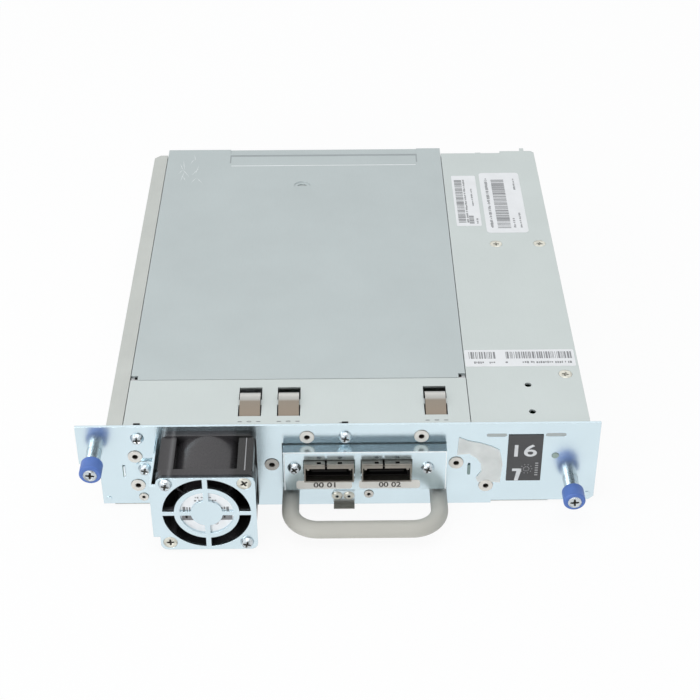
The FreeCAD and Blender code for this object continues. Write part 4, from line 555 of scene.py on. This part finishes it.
def make_screws(finishes):
    """Cuts the recess in every screw head with painted shade on its walls, and gives two of the guard's four
    screws a brighter plating.
    """
    front, down = Vector((0, 1, 0)), Vector((0, 0, -1))
    nickel, aged, dark, soft = (finishes[kind] for kind in ("fastener", "cream", "recess", "soft_recess"))
    # the recess finishes (dark, soft) are painted shade on the walls of each cut recess
    for node, into, reach, depth, finish, recess, body in (
            ("plate_screws", front, 1.7, 1.3, nickel, dark, "sled"),
            ("bracket_screws", front, 1.7, 1.3, nickel, dark, "sled"),
            ("guard_screws", front, 1.7, 1.2, aged, dark, "sled"),
            ("cover_screws", down, 1.6, 1.2, aged, soft, "sled"),
            ("handle_screws", -front, 1.7, 1.3, nickel, dark, "sled"),
            ("drive_screws", -down, 1.6, 1.1, nickel, dark, "sled"),
            ("left_screw", front, 1.9, 1.6, nickel, dark, "left_thumbscrew"),
            ("right_screw", front, 1.9, 1.6, nickel, dark, "right_thumbscrew")):
        heads = driven(node, into, reach, depth, finish, recess, body)
        if node == "guard_screws":
            middle = (low(node) + high(node)) / 2
            heads.data.materials.append(nickel.material)
            newest = len(heads.data.materials) - 1
            for face in heads.data.polygons:
                offset = face.center - middle
                if offset.x * offset.z < 0 and face.material_index == 0:
                    face.material_index = newest


def make_springs(finishes):
    """The thumbscrews' springs, each a copy with its own mesh, riding on the sled."""
    for side in ("left", "right"):
        node = side + "_spring"
        mesh = node_mesh(node)
        mesh.materials.append(finishes["fastener"].material)
        coil = in_scene(side + "_coil", mesh)
        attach(coil, "sled")
        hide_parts(node)
        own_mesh(coil)


# ------------------------------------------------------------------ flat and solid forms
def solid(name, finish, body, build):
    """A new piece from bmesh code, in its finish, riding on a body."""
    mesh = bpy.data.meshes.new(name)
    form = bmesh.new()
    build(form)
    bmesh.ops.recalc_face_normals(form, faces=form.faces)
    form.to_mesh(mesh)
    form.free()
    mesh.materials.append(finish.material)
    thing = in_scene(name, mesh)
    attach(thing, body)
    return thing


def on_plate(y):
    """Maps flat (x, z) millimetres to a vertical face at y that looks at the viewer."""
    return lambda a, b, lift: Vector((a * MM, y - lift, b * MM))


def on_top(z):
    """Maps flat (x, y) millimetres to a level face at z."""
    return lambda a, b, lift: Vector((a * MM, b * MM, z + lift))


def patch(form, face, points, lift=0.0, thick=SKIN):
    """A thin slab over an outline of flat points."""
    base = [form.verts.new(face(a, b, lift)) for a, b in points]
    top = [form.verts.new(face(a, b, lift + thick)) for a, b in points]
    form.faces.new(base)
    form.faces.new(reversed(top))
    for i in range(len(points)):
        j = (i + 1) % len(points)
        form.faces.new((base[i], base[j], top[j], top[i]))


def card(left, right, bottom, top, radius=0.0, steps=5):
    """The outline of a rectangle with rounded corners."""
    if not radius:
        return [(left, bottom), (right, bottom), (right, top), (left, top)]
    points = []
    for cx, cy, turn in ((right - radius, bottom + radius, -90), (right - radius, top - radius, 0),
                         (left + radius, top - radius, 90), (left + radius, bottom + radius, 180)):
        for i in range(steps + 1):
            angle = math.radians(turn + 90 * i / steps)
            points.append((cx + radius * math.cos(angle), cy + radius * math.sin(angle)))
    return points


def bars(form, face, left, right, bottom, top, seed, axis, widest):
    """A generic bar pattern of seeded widths between two edges."""
    draw = random.Random(seed)
    here, end = (left, right) if axis == "x" else (bottom, top)
    while here < end - widest:
        width = widest * draw.choice((0.25, 0.25, 0.5, 0.75, 1.0))
        if axis == "x":
            patch(form, face, card(here, here + width, bottom, top), SKIN)
        else:
            patch(form, face, card(left, right, here, here + width), SKIN)
        here += width + widest * draw.choice((0.3, 0.45, 0.7))


def figure(name, text, face, left, bottom, height, width, finish, weight):
    """Plain figures drawn flat on a face, to a height and a width."""
    curve = bpy.data.curves.new(name, "FONT")
    curve.body = text
    curve.size = 1
    curve.offset = weight
    probe = in_scene(name + "_probe", curve)
    mesh = evaluated(probe)
    bpy.data.objects.remove(probe)
    first = [min(v.co[i] for v in mesh.vertices) for i in (0, 1)]
    last = [max(v.co[i] for v in mesh.vertices) for i in (0, 1)]
    for v in mesh.vertices:
        across, rise = ((v.co[i] - first[i]) / (last[i] - first[i]) for i in (0, 1))
        v.co = face(left + width * across, bottom + height * rise, SKIN * 2)
    mesh.materials.clear()
    mesh.materials.append(finish.material)
    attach(in_scene(name, mesh), "sled")


def rows(form, face, left, right, bottom, height, seed, gap=0.35, widest=0.9):
    """A row of small print too fine to read: short strokes with seeded widths and word gaps."""
    draw = random.Random(seed)
    here = left
    while here < right - widest:
        width = widest * draw.uniform(0.45, 1.0)
        low_end = bottom + height * draw.choice((0, 0, 0.25))
        patch(form, face, card(here, here + width, low_end, bottom + height * draw.uniform(0.75, 1)), SKIN)
        here += width + gap * draw.choice((0.8, 0.8, 1.0, 2.6))


def disc(x, y, radius, steps=24, flat=1.0):
    """Points round a circle, or round an ellipse where flat is under 1."""
    turns = [math.radians(360 * i / steps) for i in range(steps)]
    return [(x + radius * math.cos(t), y + radius * flat * math.sin(t)) for t in turns]


def band(form, face, outer, inner, lift=0.0, thick=SKIN):
    """A flat ring between two outlines with as many points each."""
    for i in range(len(outer)):
        j = (i + 1) % len(outer)
        patch(form, face, [outer[i], outer[j], inner[j], inner[i]], lift, thick)


def bent(corners, reach, steps=6):
    """A path of flat points through corners that are rounded over reach."""
    path = [Vector(corners[0])]
    for before, corner, after in zip(corners, corners[1:], corners[2:]):
        corner = Vector(corner)
        start = corner + (Vector(before) - corner).normalized() * reach
        end = corner + (Vector(after) - corner).normalized() * reach
        for i in range(steps + 1):
            t = i / steps
            path.append(start * (1 - t) ** 2 + corner * 2 * t * (1 - t) + end * t ** 2)
    path.append(Vector(corners[-1]))
    return path


def leaf(form, x, width, path, thick):
    """A bent strip of metal, width across x, that follows (y, z) points in millimetres."""
    rings = []
    for i, point in enumerate(path):
        run = (path[min(i + 1, len(path) - 1)] - path[max(i - 1, 0)]).normalized()
        lift = Vector((-run.y, run.x)) * thick / 2
        upper, lower = point + lift, point - lift
        rings.append([form.verts.new(Vector((x + side * width / 2, spot.x, spot.y)) * MM)
                      for side, spot in ((-1, upper), (1, upper), (1, lower), (-1, lower))])
    for first, second in zip(rings, rings[1:]):
        for i in range(4):
            j = (i + 1) % 4
            form.faces.new((first[i], first[j], second[j], second[i]))
    form.faces.new(rings[0])
    form.faces.new(reversed(rings[-1]))


def block(form, left, right, front, back, bottom, top):
    """A plain block in millimetres, for cutting and for small tabs."""
    patch(form, on_top(bottom * MM), card(left, right, front, back), 0, (top - bottom) * MM)


# ------------------------------------------------------------------ forms beyond the CAD nodes
def make_clips(finishes):
    """Ground clips with a round crest ahead of an open gap, in windows with small inner teeth."""
    width, thick = 8.8, 0.4
    crest = high("top_clips").z / MM - thick / 2 - 0.05
    under = low("top_clips").z / MM + thick / 2
    path = bent([(1.3, under), (6.2, under), (14.9, crest), (19.6, crest), (22.2, under)], 1.7)
    clips = solid("ground_clips", finishes["clip"], "sled",
                  lambda form: [leaf(form, x, width, path, thick) for x in CLIPS])
    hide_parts("top_clips")
    smooth(clips.data)

    def teeth(form, mesh):
        under_strip = on_top(high("front_strip").z - SHEET * MM)
        front, step, back, end = 11.48, 13.5, 17.2, 17.52
        for x in CLIPS:
            for side in (-1, 1):
                edge, inner, outer = (x + side * reach for reach in (4.9, 4.4, 5.62))
                points = [(edge, front), (edge, step), (inner, step), (inner, back),
                          (edge, back), (edge, end), (outer, end), (outer, front)]
                patch(form, under_strip, points, 0, SHEET * MM)
    carved("front_strip", "UNION", teeth, finishes["sheet"], finishes["sheet"], "sled")


def make_ports(finishes):
    """The cages' front lips, with the slit and the two latch windows of such a receptacle."""
    for node in ("port_cage_a", "port_cage_b"):
        left, right = low(node).x / MM, high(node).x / MM
        front, top = low(node).y / MM, high(node).z / MM
        middle = (left + right) / 2
        slit = (middle - 1.7, middle - 0.8)
        skin = (top - 1.0, top + 0.5)

        def openings(form, mesh):
            block(form, *slit, front - 0.5, front + 3.0, *skin)
            for x in (middle - 4.2, middle + 4.6):
                block(form, x - 0.9, x + 0.9, front + 0.55, front + 1.9, *skin)
        # the cut's walls take the near-black finish, painted shade inside the slit and the latch windows
        carved(node, "DIFFERENCE", openings, finishes["cage"], finishes["insert"], "sled")

        def lips(form):
            back, under = front + 0.5, top - 2.2
            for start, end in ((left + 0.5, slit[0]), (slit[1], right - 0.5)):
                block(form, start, end, front, back, under, top - 0.45)
            for start in (left + 1.2, right - 2.2):
                block(form, start, start + 1.0, front, back, top - 3.0, under)
        solid(node + "_lips", finishes["cage"], "sled", lips)


def make_bracket_edges(finishes):
    """Painted highlights along the port bracket's bends, and a painted shadow line where it meets the plate.
    """
    left, right = low("port_bracket").x / MM, high("port_bracket").x / MM
    bottom, top = low("port_bracket").z / MM, high("port_bracket").z / MM
    wall, plate = on_plate(low("port_bracket").y), on_plate(low("faceplate").y)

    def bends(form):
        fold = top - 0.55
        # pale strips painted as the highlight on the bracket's top bend and on its side edges
        patch(form, wall, card(left, right, fold, top), thick=STAIN)
        patch(form, wall, card(right - 0.4, right, bottom, fold), thick=STAIN)
        patch(form, wall, card(left + 0.3, left + 0.7, bottom, fold), thick=STAIN)
    solid("bracket_bend_highlights", finishes["painted_highlight_edge"], "sled", bends)

    def joint(form):
        # dark strips painted as the shadow where the bracket meets the plate
        patch(form, plate, card(left - 0.3, right + 0.2, top, top + 0.35), thick=STAIN)
        patch(form, plate, card(left - 0.5, left, bottom, top + 0.35), thick=STAIN)
    solid("bracket_joint_shadow", finishes["shadow_line"], "sled", joint)


def make_post_highlight_and_rivet_shade(finishes):
    """A painted highlight streak down the fan's right post, and painted shade in the eyes of the clip's
    rivets.
    """
    highlight_plastic = plastic("painted_highlight_moulding", (0.30, 0.30, 0.31), 0.35, grain=0.3, depth=0.004, edge=0)
    x = high("fan_frame").x / MM - 4.0
    front, back = low("fan_frame").y / MM + 2.6, high("fan_frame").y / MM - 5.0
    streak = [(x, front), (x + 0.55, front), (x + 0.45, back), (x + 0.1, back)]
    solid("post_highlight", highlight_plastic, "sled",
          lambda form: patch(form, on_top(high("fan_frame").z), streak, thick=STAIN))

    def eyes(form):
        for lowest, highest in islands(NODES["clip_rivets"].data):
            middle = (lowest + highest) / 2 / MM
            # near-black discs painted as the shade in each rivet's eye
            patch(form, on_plate(lowest.y), disc(middle.x, middle.z, 0.55, 12), thick=STAIN)
    solid("rivet_eyes", finishes["insert"], "sled", eyes)


# ------------------------------------------------------------------ labels and marks
def make_hub_sticker(paper, ink, light):
    """A round sticker on the fan's hub, with bars and strokes for print."""
    x, z = ((low("fan_frame") + high("fan_frame")) / 2 / MM).xz
    face = on_plate(low("fan_frame").y)
    solid("hub_sticker", paper, "sled", lambda form: patch(form, face, disc(x, z, 12.2, 48)))

    def print_on(form):
        rows(form, face, x - 4.5, x + 2.6, z + 7.3, 0.8, 21)
        rows(form, face, x - 4.9, x + 5.2, z + 5.7, 0.9, 22)
        rows(form, face, x - 9.9, x - 5.6, z + 0.9, 1.9, 23, 0.5, 1.2)
        rows(form, face, x + 5.6, x + 9.9, z + 0.9, 1.9, 24, 0.5, 1.2)
        patch(form, face, card(x - 10.4, x + 10.4, z - 4.6, z - 0.8, 0.6), SKIN)
        rows(form, face, x - 3.9, x - 1.8, z - 6.6, 1.0, 25)
        band(form, face, disc(x + 3.6, z - 6.2, 0.9), disc(x + 3.6, z - 6.2, 0.6), SKIN)
    solid("hub_print", ink, "sled", print_on)

    def light_print(form):
        rows(form, face, x - 9.0, x - 5.2, z - 3.4, 1.5, 26, 0.9, 1.0)
        rows(form, face, x + 5.2, x + 9.0, z - 3.4, 1.5, 27, 0.9, 1.0)
    solid("hub_light_print", light, "sled", light_print)


def make_labels():
    """The dark type label, the torn one, the two port strips and the three paper labels on top.

    Outlines are in millimetres on the part's own axes, and so are those of the marks below.
    """
    paper = plastic("label_paper", (0.84, 0.85, 0.865), 0.6, grain=0.4, depth=0.004, edge=0, vary=0.03)
    ink = plastic("label_ink", (0.20, 0.20, 0.205), 0.6, grain=0.4, depth=0.002, edge=0)
    faded = plastic("faded_ink", (0.25, 0.255, 0.265), 0.6, grain=0.4, depth=0.002, edge=0)
    stamp_ink = plastic("strip_ink", (0.055, 0.045, 0.042), 0.6, grain=0.4, depth=0.002, edge=0)
    dark = plastic("label_dark", (0.058, 0.058, 0.060), 0.55, grain=0.5, depth=0.004, edge=0)
    white = plastic("label_white", (0.66, 0.67, 0.68), 0.55, grain=0.4, depth=0.002, edge=0)
    worn = plastic("label_worn", (0.34, 0.34, 0.345), 0.55, grain=0.4, depth=0.002, edge=0)
    tape = plastic("strip_tape", (0.74, 0.725, 0.685), 0.45, grain=0.8, depth=0.003, edge=0, vary=0.03)
    residue = plastic("torn_paper", (0.86, 0.865, 0.84), 0.8, grain=0.5, depth=0.02, edge=0, Alpha=0.55)
    make_hub_sticker(paper, ink, white)

    plate = on_plate(low("faceplate").y)
    solid("type_label", dark, "sled", lambda form: patch(form, plate, card(71.9, 86.7, 12.8, 38.0)))
    figure("type_number", "16", plate, 74.7, 26.2, 6.6, 9.6, white, 0.015)

    def type_marks(form):
        patch(form, plate, [(74.3, 19.6), (78.2, 19.6), (78.2, 18.4), (77.0, 12.9), (75.4, 12.9),
                            (76.2, 18.2), (74.3, 18.2)], SKIN)
    solid("type_marks", white, "sled", type_marks)

    def fine_marks(form):
        for radius in (1.2, 2.4):
            for middle in disc(80.3, 19.4, radius, 10):
                patch(form, plate, disc(*middle, 0.22, 6), SKIN)
        for i in range(6):
            patch(form, plate, card(84.0, 85.3, 15.7 + 1.3 * i, 16.3 + 1.3 * i), SKIN)
    solid("fine_marks", worn, "sled", fine_marks)
    torn = [(50.9, 36.9), (55.0, 35.0), (60.5, 33.6), (65.0, 31.9), (68.5, 29.7), (70.1, 22.1), (69.4, 11.7),
            (63.4, 12.3), (60.0, 11.8), (58.9, 14.5), (61.2, 18.3), (60.8, 22.5), (58.9, 25.4), (55.5, 27.9),
            (50.5, 27.4)]
    solid("torn_label", residue, "sled", lambda form: patch(form, plate, torn))

    bracket = on_plate(low("port_bracket").y)
    for name, number, left, right in (("port_strip_1", "00 01", -18.0, 5.7),
                                      ("port_strip_2", "00 02", 8.7, 34.7)):
        solid(name, tape, "sled", lambda form: patch(form, bracket, card(left, right, 13.7, 18.3, 1.2)))
        middle = (left + right) / 2
        figure(name + "_number", number, bracket, middle - 4.6, 14.5, 2.8, 9.4, stamp_ink, 0.02)

    cover = on_top(high("side_cover").z)
    for i, outline in enumerate((card(60, 72.5, 156.8, 206.8, 0.8), card(74.6, 95.4, 150.3, 209.6, 2),
                                 card(56.3, 105, 39.5, 51.8, 0.8)), 1):
        solid("cover_label_%d" % i, paper, "sled", lambda form: patch(form, cover, outline))

    def sideways(a, b, lift):
        """Print that runs along the sled's depth."""
        return cover(b, a, lift)

    def barcodes(form):
        bars(form, cover, 61.2, 65.0, 160, 203, 11, "y", 0.9)
        bars(form, cover, 66.6, 69.0, 159, 167, 12, "y", 0.7)
        bars(form, cover, 80.4, 87.0, 154.5, 203, 13, "y", 1.1)
        bars(form, cover, 58.2, 70.2, 45.2, 50.2, 14, "x", 0.85)
        bars(form, cover, 74.6, 104.2, 45.2, 50.2, 15, "x", 0.85)
    solid("cover_bars", faded, "sled", barcodes)

    def printed(form):
        rows(form, sideways, 160, 203, 65.5, 1.0, 31)
        rows(form, sideways, 159, 165, 70.2, 1.0, 32)
        rows(form, sideways, 176, 194, 69.0, 0.9, 33)
        rows(form, sideways, 155, 204, 77.0, 1.5, 34)
        rows(form, sideways, 155, 164, 88.5, 1.1, 35)
        rows(form, sideways, 155, 170, 91.8, 1.0, 36)
        rows(form, sideways, 192, 204, 91.6, 1.0, 37)
        rows(form, cover, 60.2, 65.0, 41.6, 1.6, 38)
        rows(form, cover, 67.0, 70.2, 41.6, 1.6, 39)
        patch(form, cover, disc(74.6, 42.4, 0.6, 12), SKIN)
        rows(form, cover, 81.6, 104.4, 41.6, 1.6, 40)
    solid("cover_print", faded, "sled", printed)


def make_marks(finishes):
    """Slots and grooves in shadow, the marks stamped before each clip, a painted shadow line at the cover's
    rear step, and scratches on the cover.
    """
    plate = on_plate(low("faceplate").y)
    pale = sheet_metal("slot_backing", (0.42, 0.455, 0.45), 0.5, metallic=0.3, edge=0)

    def slots(form):
        for x in (66.9, 91.9):
            patch(form, plate, card(x - 4.3, x + 4.3, 36.95, 38.65, 0.8), -0.45 * MM)
    solid("slot_backing", pale, "sled", slots)
    groove = sheet_metal("groove", (0.22, 0.30, 0.29), 0.5, metallic=0.3, patch=2, edge=0)

    def grooves(form):
        patch(form, plate, card(55.1, 56.4, 16.4, 21.8, 0.5))
        patch(form, plate, card(-92.2, -91.8, 16.8, 22.9, 0.15))
    solid("groove_shade", groove, "sled", grooves)
    # painted highlight on the lit edge of the left groove, beside its painted shade
    solid("groove_rim", finishes["painted_highlight_edge"], "sled",
          lambda form: patch(form, plate, card(-91.8, -91.1, 17.0, 22.7, 0.3), thick=STAIN))

    stamp = sheet_metal("stamped_mark", (0.20, 0.21, 0.215), 0.5, metallic=0.3, edge=0)
    strip = on_top(high("front_strip").z)

    def stamps(form):
        for x in CLIPS:
            for side in (-3.9, 3.9):
                patch(form, strip, card(x + side - 0.9, x + side + 0.9, 2.0, 2.5, 0.2), thick=STAIN)
            band(form, strip, disc(x, 2.3, 1.0, 16, 0.45), disc(x, 2.3, 0.7, 16, 0.28), thick=STAIN)
    solid("clip_stamps", stamp, "sled", stamps)

    def gaps(form):
        # near-black dashes painted as the shade in the gaps at the strip's front edge
        for left in (-86.1, 1.5):
            patch(form, strip, card(left, left + 2.8, 0.05, 1.8), thick=STAIN)
    solid("strip_gap_shade", finishes["insert"], "sled", gaps)

    cover = on_top(high("drive_cover").z)
    vent_x = (low("drive_cover").x + high("drive_cover").x) / 2 / MM - 0.8
    vent_y = high("drive_cover").y / MM - 38.8
    solid("vent_shade", pale, "sled", lambda form: patch(form, cover, disc(vent_x, vent_y, 2.6), -0.75 * MM))
    crease = sheet_metal("crease_shade", (0.33, 0.365, 0.375), 0.5, metallic=0.2, edge=0)

    def creases(form):
        # a dark line painted as the shadow of the cover's rear step, with short ones down its ends
        patch(form, cover, card(-57, 43, 229.0, 230.8), thick=HAIR)
        for x in (-57, 42.3):
            patch(form, cover, card(x, x + 0.7, 222.0, 229.0), thick=HAIR)
    solid("rear_crease_shadow", crease, "sled", creases)

    bright = sheet_metal("scratch", (0.76, 0.79, 0.80), 0.4, metallic=0.2, edge=0)
    draw = random.Random(7)

    def scratches(form):
        """One long rub along the rear crease, and short ones where a hand pushes the drive in."""
        patch(form, cover, card(-56, 42, 218.8, 219.5), thick=HAIR)
        for _ in range(12):
            start = Vector((-84 + 14 * draw.random(), 200 + 26 * draw.random()))
            angle, length = math.radians(60 + 70 * draw.random()), 4 + 8 * draw.random()
            run = Vector((math.cos(angle), math.sin(angle)))
            wide = Vector((-run.y, run.x)) * 0.14
            middle = start + run * length / 2
            patch(form, cover, [start - wide, middle + wide, start + run * length, middle - wide], thick=HAIR)
    solid("cover_scratches", bright, "sled", scratches)


make_camera()
make_light()
make_studio()
finishes = make_finishes()
dress(finishes)
make_screws(finishes)
make_springs(finishes)
make_clips(finishes)
make_ports(finishes)
make_bracket_edges(finishes)
make_post_highlight_and_rivet_shade(finishes)
make_labels()
make_marks(finishes)
